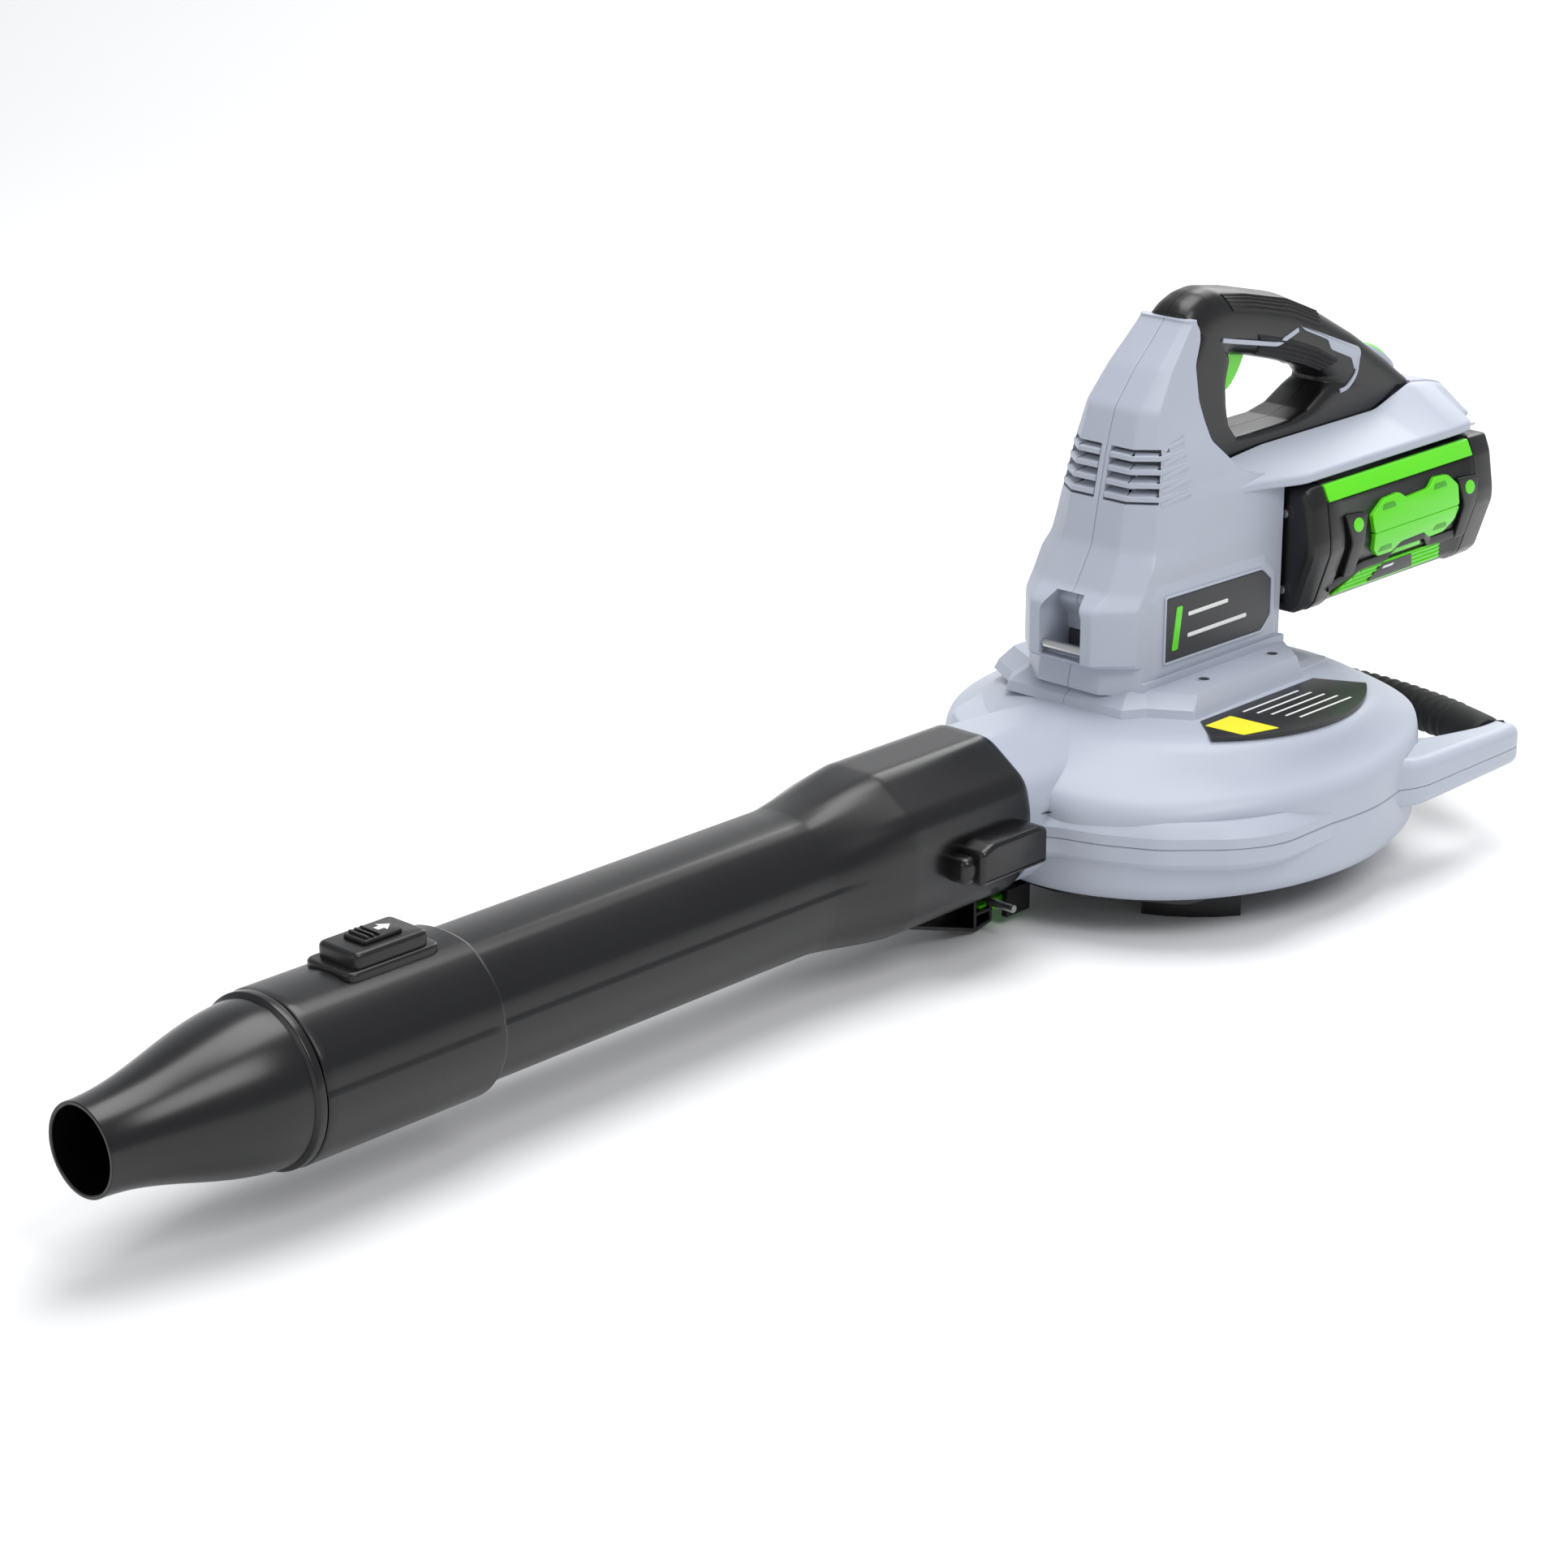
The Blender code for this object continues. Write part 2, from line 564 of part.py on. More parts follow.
def fan_and_motor(fixed, spin):
    """Impeller with its shaft and rotor, and the stator, bearings and plate that stay still."""
    fan = plan_prism("impeller", impeller_outline(), IMPELLER_LOW_Z, IMPELLER_TOP_Z - 1, "fan_nylon", spin)
    plate = rod("impeller_plate", IMPELLER_R, IMPELLER_TOP_Z - 3, IMPELLER_TOP_Z, 36, parent=spin)
    hole = rod("impeller_bore", SHAFT_R + GAP, IMPELLER_LOW_Z - 5, IMPELLER_TOP_Z + 5, 16, parent=spin)
    cut(join(fan, plate), hole)
    rod("rotor_shaft", SHAFT_R, IMPELLER_LOW_Z - 7, MOTOR_TOP_Z - 1, 16, material="steel", parent=spin)
    nut_top = IMPELLER_LOW_Z - GAP
    nut = rod("impeller_nut", 7.5, nut_top - 5, nut_top, 6, material="steel", parent=spin)
    cut(nut, rod("nut_bore", SHAFT_R + GAP, nut_top - 10, nut_top + 5, 16, parent=spin))
    rotor = [(SHAFT_R + GAP, MOTOR_LOW_Z + 12), (17, MOTOR_LOW_Z + 12), (17, MOTOR_TOP_Z - 10),
             (SHAFT_R + GAP, MOTOR_TOP_Z - 10)]
    turned("rotor_magnets", rotor, 20, material="motor_steel", parent=spin)
    plate_profile = [(14, MOTOR_LOW_Z - 4), (MOTOR_R + 9, MOTOR_LOW_Z - 4), (MOTOR_R + 9, MOTOR_LOW_Z - GAP),
                     (14, MOTOR_LOW_Z - GAP)]
    turned("motor_mount_plate", plate_profile, 28, material="aluminium", parent=fixed)
    can = [(12, MOTOR_LOW_Z), (MOTOR_R, MOTOR_LOW_Z), (MOTOR_R, MOTOR_TOP_Z), (12, MOTOR_TOP_Z),
           (12, MOTOR_TOP_Z - 2.5), (MOTOR_R - 2.5, MOTOR_TOP_Z - 2.5), (MOTOR_R - 2.5, MOTOR_LOW_Z + 2.5),
           (12, MOTOR_LOW_Z + 2.5)]
    turned("motor_can", can, 28, material="motor_steel", parent=fixed)
    stator = [(18, MOTOR_LOW_Z + 10), (MOTOR_R - 3, MOTOR_LOW_Z + 10), (MOTOR_R - 3, MOTOR_TOP_Z - 8),
              (18, MOTOR_TOP_Z - 8)]
    turned("stator", stator, 24, material="copper_contact", parent=fixed)
    for name, low in (("lower_bearing", MOTOR_LOW_Z - 2), ("upper_bearing", MOTOR_TOP_Z - 7)):
        race = [(SHAFT_R + GAP, low), (11.5, low), (11.5, low + 6), (SHAFT_R + GAP, low + 6)]
        turned(name, race, 20, material="steel", parent=fixed)


# ---------------------------------------------------------------- Tower, collar, beam and nose


def tower_rings(shrink):
    """Rings of half the tower, from the middle plane out to its flat side panel."""
    outline = inset(TOWER, shrink) if shrink else TOWER
    moved = inset(outline, 1.0)
    panel = [(x + (u - x) * d, z + (w - z) * d) for (x, z), (u, w), d in zip(outline, moved, TOWER_INSET)]
    middle = GAP / 2 if not shrink else -2.0
    rings = [[(x, middle, z) for x, z in outline]]
    rings.append([(x, v - shrink, z) for (x, z), v in zip(outline, TOWER_EDGE)])
    rings.append([(x, v - shrink, z) for (x, z), v in zip(panel, TOWER_SIDE)])
    return rings


def button_well(parent):
    """Cutter for the release button's well, square to the handle's sloping rear."""
    well = rod("button_well", BUTTON_R + 2 * GAP, -BUTTON_DEEP, BUTTON_DEEP + 3, 20, parent=parent)
    well.location = Vector((BUTTON_AT[0], 0, BUTTON_AT[1])) * MM
    well.rotation_euler = (0, -BUTTON_TILT, 0)
    return well


def housing_half(name, parent):
    """The left half of the grey housing: tower, foot collar, battery beam and rear nose."""
    middle = GAP / 2
    shell = loft(name, tower_rings(0), "grey_shell", parent, smooth_angle=20)
    collar = plan_prism("collar", [(x, max(v, middle)) for x, v in COLLAR],
                        DOME_Z + GAP, COLLAR_TOP_Z, parent=parent)
    section = [(GAP / 2, BEAM_Z), (BEAM_HALF, BEAM_Z), (BEAM_HALF, BEAM_Z + 5), (FRAME_HALF + 9, 251.5),
               (FRAME_HALF + GAP + 1, 251.5), (FRAME_HALF + GAP + 1, 244.6), (GAP / 2, 244.6)]
    beam = front_prism("beam", section, REAR_X + 4.5, TOWER_REAR_X + 6, parent=parent)
    nose = loft("nose", [[(x, GAP / 2, BEAM_Z - 1), (x, 34, BEAM_Z - 1), (x, 34, BEAM_Z + 3), (x, 18, top),
                          (x, GAP / 2, top)] for x, top in NOSE_TOPS], parent=parent)
    join(shell, collar, beam, nose)
    cavity = loft("tower_room", tower_rings(WALL + 1), parent=parent)
    well = rod("motor_well", MOTOR_R + 5, DOME_Z - 5, MOTOR_TOP_Z + 2, 28,
               centre=(0, -HANDLE_Y, 0), parent=parent)
    slot_profile = [(TOWER_FRONT_X + 5, 150), (TOWER_FRONT_X - 28, 152), (TOWER_FRONT_X - 28, 172),
                    (TOWER_FRONT_X - 18, 190), (TOWER_FRONT_X + 5, 190)]
    latch_slot = box("latch_slot", (LATCH_X - 8, -2, BEAM_Z - 8), (LATCH_X + 8, 9, BEAM_Z + 11), parent=parent)
    strap_slot = side_prism("strap_slot", slot_profile, -3, STRAP_HALF, parent=parent)
    return cut(shell, cavity, well, strap_slot, latch_slot, button_well(parent))


def frame_half(name, parent):
    """The left half of the black handle loop, with its rounded edges and the trigger's room."""
    levels = [(GAP / 2, 0), (FRAME_HALF - 12, 0.8), (FRAME_HALF - 7, 2.5), (FRAME_HALF - 3, 5), (FRAME_HALF, 8.5)]
    rings = [[(x, v, z) for x, z in inset(FRAME, s)] for v, s in levels]
    shell = loft(name, rings, "black_shell", parent, smooth_angle=40)
    gap_levels = [(-1, 0), (FRAME_HALF - 7, 0), (FRAME_HALF - 2, -2.5), (FRAME_HALF + 1, -6.5)]
    gap_rings = [[(x, v, z) for x, z in inset(HAND_GAP, s)] for v, s in gap_levels]
    hand_gap = loft("hand_gap", gap_rings, parent=parent)
    reach = TRIGGER_HALF + 1
    outline = [(-118, 324), (-118, 338), (-90, 341), (-37, 341), (-37, 312), (-42, 296), (-88, 290), (-88, 324)]
    room = side_prism("trigger_room", outline, -1, reach, parent=parent)
    return cut(shell, hand_gap, room, button_well(parent))


def plates_and_small_parts(parent):
    """Nameplates, grip pads, strap bar, board, terminals, switch, pin and screws."""
    plate = [(48, 148), (48, 188), (-50, 188), (-60, 180), (-60, 158), (-50, 148)]
    pad = [(-78, 332), (-78, 350), (-112, 341), (-140, 331), (-152, 318), (-122, 314), (-100, 322)]
    for tag, side in (("left", 1), ("right", -1)):
        side_prism(f"{tag}_nameplate", plate, side * (TOWER_HALF + GAP), side * (TOWER_HALF + 2),
                   "dark_badge", parent)
        side_prism(f"{tag}_grip_pad", pad, side * (FRAME_HALF + GAP), side * (FRAME_HALF + 2),
                   "rubber_grip", parent)
    rod("strap_bar", 3.0, GAP - STRAP_HALF, STRAP_HALF - GAP, 12, "Y", (TOWER_FRONT_X - 4.5, 0, 157), "steel", parent)
    box("control_board", (-60, -30, 215), (20, 30, 219), "circuit_board", parent)
    box("trigger_switch", (-114, -6, 326), (-98, 6, 336), "circuit_board", parent)
    pivot = (TRIGGER_PIVOT[0], 0, TRIGGER_PIVOT[1])
    rod("trigger_pin", TRIGGER_PIN_R, -TRIGGER_HALF - 0.7, TRIGGER_HALF + 0.7, 12, "Y", pivot, "steel", parent)
    block_front = TOWER_REAR_X - GAP
    block = box("battery_terminal_block", (block_front - 2.3, -24, 200), (block_front, 24, 222), "black_shell",
                parent)
    blades = [box_mesh((BATTERY_FRONT_X - 11, v - 0.6, 204), (block_front - 2, v + 0.6, 218))
              for v in CONTACT_V]
    join(block, helpers("contact_blades", blades, parent))
    for tag, v in (("left", 42), ("right", -42)):
        box(f"{tag}_battery_rail", (REAR_X + 12, v - 2, BEAM_Z - 2.4), (TOWER_REAR_X - 8, v + 2, BEAM_Z - GAP),
            "aluminium", parent)
    spots = [(x, side * 60) for x in (22, -50) for side in (1, -1)]
    for i, (x, v) in enumerate(spots, 1):
        rod(f"housing_screw_{i}", 3.4, COLLAR_TOP_Z + GAP, COLLAR_TOP_Z + 1.4, 10, "Z", (x, v, 0), "steel",
            parent)


def handle_controls(parent, pivot, button_frame):
    """Trigger on its pivot, battery release button and the latch that it lifts."""
    shape = [(x - TRIGGER_PIVOT[0], z - TRIGGER_PIVOT[1]) for x, z in TRIGGER]
    trigger = side_prism("trigger", shape, -TRIGGER_HALF, TRIGGER_HALF, "green_part", pivot)
    cut(trigger, rod("trigger_bore", TRIGGER_PIN_R + GAP, -10, 10, 12, "Y", parent=pivot))
    rod("release_button", BUTTON_R, -5, 1.8, 20, material="green_part", parent=button_frame)
    box("battery_latch", (LATCH_X - 7, -8, BATTERY_TOP_Z + 0.8), (LATCH_X + 7, 8, BATTERY_TOP_Z + 9),
        "black_shell", parent)


# ---------------------------------------------------------------- Battery


def battery_section(grow):
    """Outline of the battery across its length, as (v, z), moved out by grow."""
    half = [(57, BATTERY_TOP_Z), (57, BATTERY_TOP_Z - 11), (64, BATTERY_TOP_Z - 11),
            (BATTERY_HALF, BATTERY_RIDGE_Z + 4), (BATTERY_HALF, BATTERY_RIDGE_Z - 4), (56, BATTERY_LOW_Z + 5),
            (50, BATTERY_LOW_Z)]
    outline = half + [(-v, z) for v, z in reversed(half)]
    return inset(outline, -grow) if grow else outline


def cap_section(grow):
    """Outline of a battery cap: the same section with full upper corners."""
    half = [(59, BATTERY_TOP_Z), (64, BATTERY_TOP_Z - 10), (BATTERY_HALF, BATTERY_RIDGE_Z + 4),
            (BATTERY_HALF, BATTERY_RIDGE_Z - 4), (56, BATTERY_LOW_Z + 5), (50, BATTERY_LOW_Z)]
    outline = half + [(-v, z) for v, z in reversed(half)]
    return inset(outline, -grow) if grow else outline


def ring_at(x, section):
    """A (v, z) outline as a ring at x."""
    return [(x, v, z) for v, z in section]


def battery(parent):
    """Battery case with its caps, green strips and clips, cells and screws."""
    case_front = BATTERY_FRONT_X - CAP_LENGTH - GAP
    case_rear = BATTERY_REAR_X + REAR_CAP_LENGTH + GAP
    rings = [ring_at(case_front, battery_section(0)), ring_at(case_rear, battery_section(0)),
             ring_at(case_rear, battery_section(-WALL)), ring_at(case_front, battery_section(-WALL))]
    loft("battery_case", rings, "black_shell", parent, closed=True)
    front = loft("battery_front_cap", [ring_at(BATTERY_FRONT_X, cap_section(-7)),
                                       ring_at(BATTERY_FRONT_X - 7, cap_section(-1)),
                                       ring_at(BATTERY_FRONT_X - CAP_LENGTH, cap_section(0))],
                 "black_shell", parent)
    for i, v in enumerate(CONTACT_V):
        slot = box(f"contact_slot_{i}", (BATTERY_FRONT_X - 13, v - 1.4, 202), (BATTERY_FRONT_X + 5, v + 1.4, 220),
                   parent=parent)
        cut(front, slot)
    loft("battery_rear_cap", [ring_at(BATTERY_REAR_X + REAR_CAP_LENGTH, cap_section(0.1)),
                              ring_at(BATTERY_REAR_X + 14, cap_section(0)),
                              ring_at(BATTERY_REAR_X, cap_section(-12))], "black_shell", parent)
    strip = [(57.3, BATTERY_TOP_Z), (59, BATTERY_TOP_Z), (64, BATTERY_TOP_Z - 10.7), (57.3, BATTERY_TOP_Z - 10.7)]
    upper, lower = BATTERY_RIDGE_Z + 20, BATTERY_RIDGE_Z - 16
    clip = [(65.8, upper), (BATTERY_HALF + GAP, BATTERY_RIDGE_Z + 4), (BATTERY_HALF + GAP, BATTERY_RIDGE_Z - 4),
            (64.6, lower), (66.6, lower), (BATTERY_HALF + 2.3, BATTERY_RIDGE_Z - 4),
            (BATTERY_HALF + 2.3, BATTERY_RIDGE_Z + 4), (67.8, upper)]
    for tag, side in (("left", 1), ("right", -1)):
        front_prism(f"battery_{tag}_strip", [(side * v, z) for v, z in strip], case_rear + 1, case_front - 1,
                    "green_part", parent)
        front_prism(f"battery_{tag}_clip", [(side * v, z) for v, z in clip], -238, -148, "green_part", parent)
    first, last = case_front - 16, case_front - 16 - 6 * CELL_PITCH
    cells = [rod_mesh(CELL_R, -35, 35, 8, "Y", (first - CELL_PITCH * i, 0, BATTERY_LOW_Z + 28 + 26 * row))
             for i in range(7) for row in (0, 1)]
    holder = box("battery_cell_pack", (last - 9, -4, BATTERY_LOW_Z + 20),
                 (case_front - 8, 4, BATTERY_LOW_Z + 62), "cell_wrap", parent)
    join(holder, helpers("cells", cells, parent))
    spots = [(v, z) for v in (44, -44) for z in (BATTERY_LOW_Z + 16, BATTERY_TOP_Z - 18)]
    for i, (v, z) in enumerate(spots, 1):
        rod(f"battery_screw_{i}", 3.0, BATTERY_FRONT_X + GAP, BATTERY_FRONT_X + 1.6, 10, "X", (0, v, z),
            "steel", parent)


# ---------------------------------------------------------------- Blower tube and nozzle


def coupling_radius(angle):
    """Distance from the tube axis to the coupling's outline at an angle."""
    outline = COUPLING + [(-v, z) for v, z in reversed(COUPLING)]
    ray = Vector((math.cos(angle), math.sin(angle)))
    for a, b in zip(outline, outline[1:] + outline[:1]):
        edge = Vector(b) - Vector(a)
        across = ray.x * edge.y - ray.y * edge.x
        if abs(across) < 1e-9:
            continue
        reach = (a[0] * edge.y - a[1] * edge.x) / across
        along = (a[0] * ray.y - a[1] * ray.x) / across
        if reach > 0 and -1e-9 <= along <= 1 + 1e-9:
            return reach
    return TUBE_R


def tube_ring(x, radius, square=0.0, steps=32):
    """A ring round the tube axis, blended from a circle to the coupling's outline by square."""
    ring = []
    for i in range(steps):
        angle = 2 * math.pi * (i + 0.5) / steps
        reach = radius if not square else (1 - square) * radius + square * coupling_radius(angle)
        ring.append((x, reach * math.cos(angle), TUBE_Z + reach * math.sin(angle)))
    return ring


def blower_tube(parent):
    """Coupling, long tube and bell socket in one moulding, with the catch webs under the coupling."""
    start = OUTLET_X + 3
    inner = TUBE_R - TUBE_WALL
    stop = SOCKET_END_X - NOZZLE_INSERT - 2
    fit = SPIGOT_R + SLIDE_FIT
    bell = SOCKET_R - TUBE_WALL
    rings = [tube_ring(start, 0, 1), tube_ring(COUPLING_END_X, 0, 1),
             tube_ring((COUPLING_END_X + TAPER_END_X) / 2, TUBE_R, 0.45), tube_ring(TAPER_END_X, TUBE_R),
             tube_ring(SOCKET_START_X, TUBE_R), tube_ring(SOCKET_START_X + 5, SOCKET_R),
             tube_ring(SOCKET_END_X, SOCKET_R), tube_ring(SOCKET_END_X, bell), tube_ring(stop, bell),
             tube_ring(stop - 3, inner), tube_ring(TAPER_END_X, inner), tube_ring(SPIGOT_END_X + 8, fit),
             tube_ring(start, fit)]
    tube = loft("blower_tube", rings, "black_tube", parent, closed=True, smooth_angle=30)
    boss = [(49.3, -18), (70, -10), (70, 9), (62, 18), (49.3, 25)]
    tip = [(49.3, -10), (56, -7), (56, 4), (54, 8), (49.3, 12)]
    side_box = loft("side_boss", [ring_at(start + 2, [(v, TUBE_Z + z) for v, z in boss]),
                                  ring_at(start + 60, [(v, TUBE_Z + z) for v, z in boss]),
                                  ring_at(start + 70, [(v, TUBE_Z + z) for v, z in tip])], parent=parent)
    web = [(OUTLET_X - 6, 30), (start + 0.3, 30), (start + 0.3, 36), (start + 55, 36), (OUTLET_X - 1, 2),
           (OUTLET_X - 6, 8)]
    join(tube, side_box)
    for side in (1, -1):
        join(tube, side_prism(f"web_{side}", web, side * 36, side * 40, parent=parent))
    cut(tube, rod("web_bore", CATCH_PIN_R + GAP, -45, 45, 12, "Y", CATCH_AT, parent=parent))
    rod("tube_catch_pin", CATCH_PIN_R, -41.5, 41.5, 12, "Y", CATCH_AT, "steel", parent)
    housing = box("nozzle_latch_housing", (NOZZLE_LATCH_X - 26, -17, TUBE_Z + 36),
                  (NOZZLE_LATCH_X + 26, 17, LATCH_TOP_Z), "black_shell", parent)
    cut(housing, rod("socket_clear", SOCKET_R + GAP, NOZZLE_LATCH_X - 40, NOZZLE_LATCH_X + 40, 32, "X",
                     (0, 0, TUBE_Z), parent=parent))


def nozzle(parent):
    """Round nozzle that narrows in an S-curve from the socket to its mouth."""
    outer_r = SOCKET_R - TUBE_WALL - SLIDE_FIT
    taper_start = SOCKET_END_X + 4
    steps = 8
    outer = [(outer_r, SOCKET_END_X - NOZZLE_INSERT), (outer_r, taper_start)]
    for i in range(1, steps + 1):
        t = i / steps
        radius = MOUTH_R + (outer_r - MOUTH_R) * (1 + math.cos(math.pi * t)) / 2
        outer.append((radius, taper_start + (MOUTH_X - taper_start) * t))
    inner = [(radius - NOZZLE_WALL, x) for radius, x in reversed(outer)]
    turned("nozzle", outer + inner, 32, "X", (0, 0, TUBE_Z), "black_tube", parent)


def nozzle_lock(parent):
    """Slider on top of the latch housing, with three grip ribs."""
    low = LATCH_TOP_Z + GAP
    button = box("nozzle_lock_slider", (NOZZLE_LATCH_X - 14, -9, low), (NOZZLE_LATCH_X + 14, 9, low + 2.5),
                 "black_shell", parent)
    for i in range(3):
        x = NOZZLE_LATCH_X + 2 + 4 * i
        join(button, box(f"grip_rib_{i}", (x, -7, low + 2), (x + 2, 7, low + 3.6), parent=parent))


def tube_hook(parent, hinge):
    """Bracket under the outlet with the sprung green hook that holds the tube's pin."""
    section = [(-26, 23.4), (26, 23.4), (26, 6), (22, 6), (22, 20.6), (-22, 20.6), (-22, 6), (-26, 6)]
    front_prism("hook_bracket", section, 150, 172, "black_shell", parent)
    rod("hook_pin", HOOK_PIN_R, -21.6, 21.6, 12, "Y", HOOK_AT, "steel", parent)
    outline = [(148, 15.5), (156, 18), (168, 18), (176, 15.6), (189, 15.6), (189, 12.5), (176, 11), (166, 8),
               (156, 8), (150, 12.5)]
    shape = [(x - HOOK_AT[0], z - HOOK_AT[2]) for x, z in outline]
    hook = side_prism("tube_hook", shape, -18, 18, "green_part", hinge)
    cut(hook, rod("hook_bore", HOOK_PIN_R + GAP, -25, 25, 12, "Y", parent=hinge))


# ---------------------------------------------------------------- Auxiliary handle and label

def bowed_ring(y, radius, steps):
    """Ring of the auxiliary grip at y. Its middle stands back by the bow."""
    half = ARM_Y - ARM_WIDTH
    x = AUX_X + 4 - AUX_BOW * (1 - (y / half) ** 2)
    return [(x + a, y, (ARM_LOW_Z + ARM_TOP_Z) / 2 + b) for a, b in circle(radius, steps)]


def auxiliary_handle(parent):
    """Steel core bar between the two arms, with a rubber sleeve round it."""
    reach = ARM_Y - ARM_WIDTH - GAP
    stations = [reach * (i / 4 - 1) for i in range(9)]
    loft("aux_bar", [bowed_ring(y, AUX_BAR_R, 12) for y in stations], "steel", parent, smooth_angle=35)
    ends = [y * (1 - 1.5 / reach) for y in stations]
    outer = [bowed_ring(y, AUX_GRIP_R, 16) for y in ends]
    inner = [bowed_ring(y, AUX_BAR_R + GAP + 0.2, 16) for y in reversed(ends)]
    loft("aux_grip", outer + inner, "rubber_grip", parent, closed=True, smooth_angle=35)


def rating_label(parent):
    """Fan-shaped label on the casing's top, beside the collar."""
    outer = [math.radians(a) for a in (46, 60, 75, 90, 105, 120, 134)]
    outline = [(104 * math.cos(a), 104 * math.sin(a)) for a in outer] + [(-50, 54), (50, 54)]
    plan_prism("rating_label", outline, DOME_Z + GAP, DOME_Z + 1, "label_film", parent)


def main():
    """Builds every piece in the fan's frame and places the frame."""
    clear_scene()
    fan = empty("fan_frame", (FAN_X, FAN_Y, 0))
    plane = empty("handle_plane", (0, HANDLE_Y, 0), fan)
    spin = empty("spin_axis", (0, 0, 0), fan)
    door_hinge = empty("door_hinge", DOOR_HINGE, fan)
    pivot = empty("trigger_pivot", (TRIGGER_PIVOT[0], 0, TRIGGER_PIVOT[1]), plane)
    button_frame = empty("button_axis", (BUTTON_AT[0], 0, BUTTON_AT[1]), plane)
    button_frame.rotation_euler = (0, -BUTTON_TILT, 0)
    hook_hinge = empty("hook_hinge", HOOK_AT, plane)
    scroll_half("lower_scroll_shell", False, fan)
    scroll_half("upper_scroll_shell", True, fan)
    intake_pieces(fan, door_hinge)
    fan_and_motor(fan, spin)
    mirrored(housing_half("left_housing_shell", plane), "right_housing_shell")
    mirrored(frame_half("left_handle_frame", plane), "right_handle_frame")
    plates_and_small_parts(plane)
    handle_controls(plane, pivot, button_frame)
    battery(plane)
    blower_tube(plane)
    nozzle(plane)
    nozzle_lock(plane)
    tube_hook(plane, hook_hinge)
    auxiliary_handle(fan)
    rating_label(fan)


main()
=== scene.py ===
"""Looks of the cordless blower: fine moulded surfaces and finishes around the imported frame.

Every surface is worked out in millimetres in the blower's own directions: x runs forward from the fan's
axis, v sideways from the plane of handle and tube, and z up from the ground. Datum turns them into the
frame's metres.
"""

import json
import logging
import math
from dataclasses import dataclass, field
from enum import Enum

import bmesh
import bpy
import numpy as np
from mathutils import Matrix, Vector
from numpy.typing import NDArray


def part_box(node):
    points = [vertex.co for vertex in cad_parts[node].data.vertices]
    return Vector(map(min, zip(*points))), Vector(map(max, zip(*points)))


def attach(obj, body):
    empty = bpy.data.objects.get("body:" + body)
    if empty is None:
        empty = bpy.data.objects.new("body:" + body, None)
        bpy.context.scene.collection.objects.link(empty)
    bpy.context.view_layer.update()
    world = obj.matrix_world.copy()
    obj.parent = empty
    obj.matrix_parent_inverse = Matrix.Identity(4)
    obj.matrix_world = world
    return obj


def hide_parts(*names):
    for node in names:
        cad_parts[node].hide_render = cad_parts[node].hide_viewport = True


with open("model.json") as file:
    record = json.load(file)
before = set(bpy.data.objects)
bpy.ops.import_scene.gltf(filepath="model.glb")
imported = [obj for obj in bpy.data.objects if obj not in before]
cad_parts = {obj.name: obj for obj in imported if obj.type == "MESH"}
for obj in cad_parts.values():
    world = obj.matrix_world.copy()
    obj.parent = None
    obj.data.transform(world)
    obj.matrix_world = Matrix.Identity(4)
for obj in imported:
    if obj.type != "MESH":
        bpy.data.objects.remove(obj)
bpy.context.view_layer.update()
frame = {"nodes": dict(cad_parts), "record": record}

Array = NDArray[np.float64]
LOG = logging.getLogger("blower")
MM = 0.001
SEAM = 0.15          # half of the gap at the parting line of two moulded halves
TINY = 1e-9          # keeps a division away from nought
CREASE = 32.0        # degrees past which an edge shades as a crease


# ---------------------------------------------------------------- Places

@dataclass(frozen=True)
class Datum:
    """The frame's reference planes, read from its solids."""

    fan_x: float
    handle_y: float
    fan_v: float

    @classmethod
    def from_frame(cls) -> "Datum":
        """Reads the fan's axis and the handle plane from the rotor shaft and the strap bar."""
        low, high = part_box("rotor_shaft")
        bar_low, bar_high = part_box("strap_bar")
        handle_y = (bar_low.y + bar_high.y) / 2
        return cls((low.x + high.x) / 2, handle_y, ((low.y + high.y) / 2 - handle_y) / MM)

    def world(self, points: Array) -> Array:
        """Points in millimetres (x, v, z) as places in the frame, in metres."""
        return points * MM + np.array([self.fan_x, self.handle_y, 0.0])


DATUM = Datum.from_frame()


# ---------------------------------------------------------------- Surfaces

@dataclass
class Surface:
    """A mesh in millimetres: points (n, 3) and faces as index tuples."""

    points: Array
    faces: list[list[int]]

    def mirrored(self) -> "Surface":
        """The same surface on the other side of the handle plane."""
        return Surface(self.points * np.array([1.0, -1.0, 1.0]), [face[::-1] for face in self.faces])


def grid(points: Array, around: bool = True, loop: bool = False, caps: bool = True) -> Surface:
    """Quads over rows and columns of points.

    Args:
        points: places, shape (rows, columns, 3).
        around: whether the last column joins the first.
        loop: whether the last row joins the first.
        caps: whether the first and last rows are filled.

    Returns:
        The surface, closed when around is set with caps or loop.
    """
    rows, columns = points.shape[:2]
    index = np.arange(rows * columns).reshape(rows, columns)
    ahead = np.roll(index, -1, axis=0) if loop else index[1:]
    here = index if loop else index[:-1]
    left, right = (slice(None), None) if around else (slice(0, -1), slice(1, None))
    here_next = np.roll(here, -1, axis=1) if around else here[:, right]
    ahead_next = np.roll(ahead, -1, axis=1) if around else ahead[:, right]
    quads = np.stack([here[:, left], here_next, ahead_next, ahead[:, left]], axis=-1).reshape(-1, 4)
    faces = quads.tolist()
    if caps and not loop:
        faces.append(index[0][::-1].tolist())
        faces.append(index[-1].tolist())
    return Surface(points.reshape(-1, 3), faces)


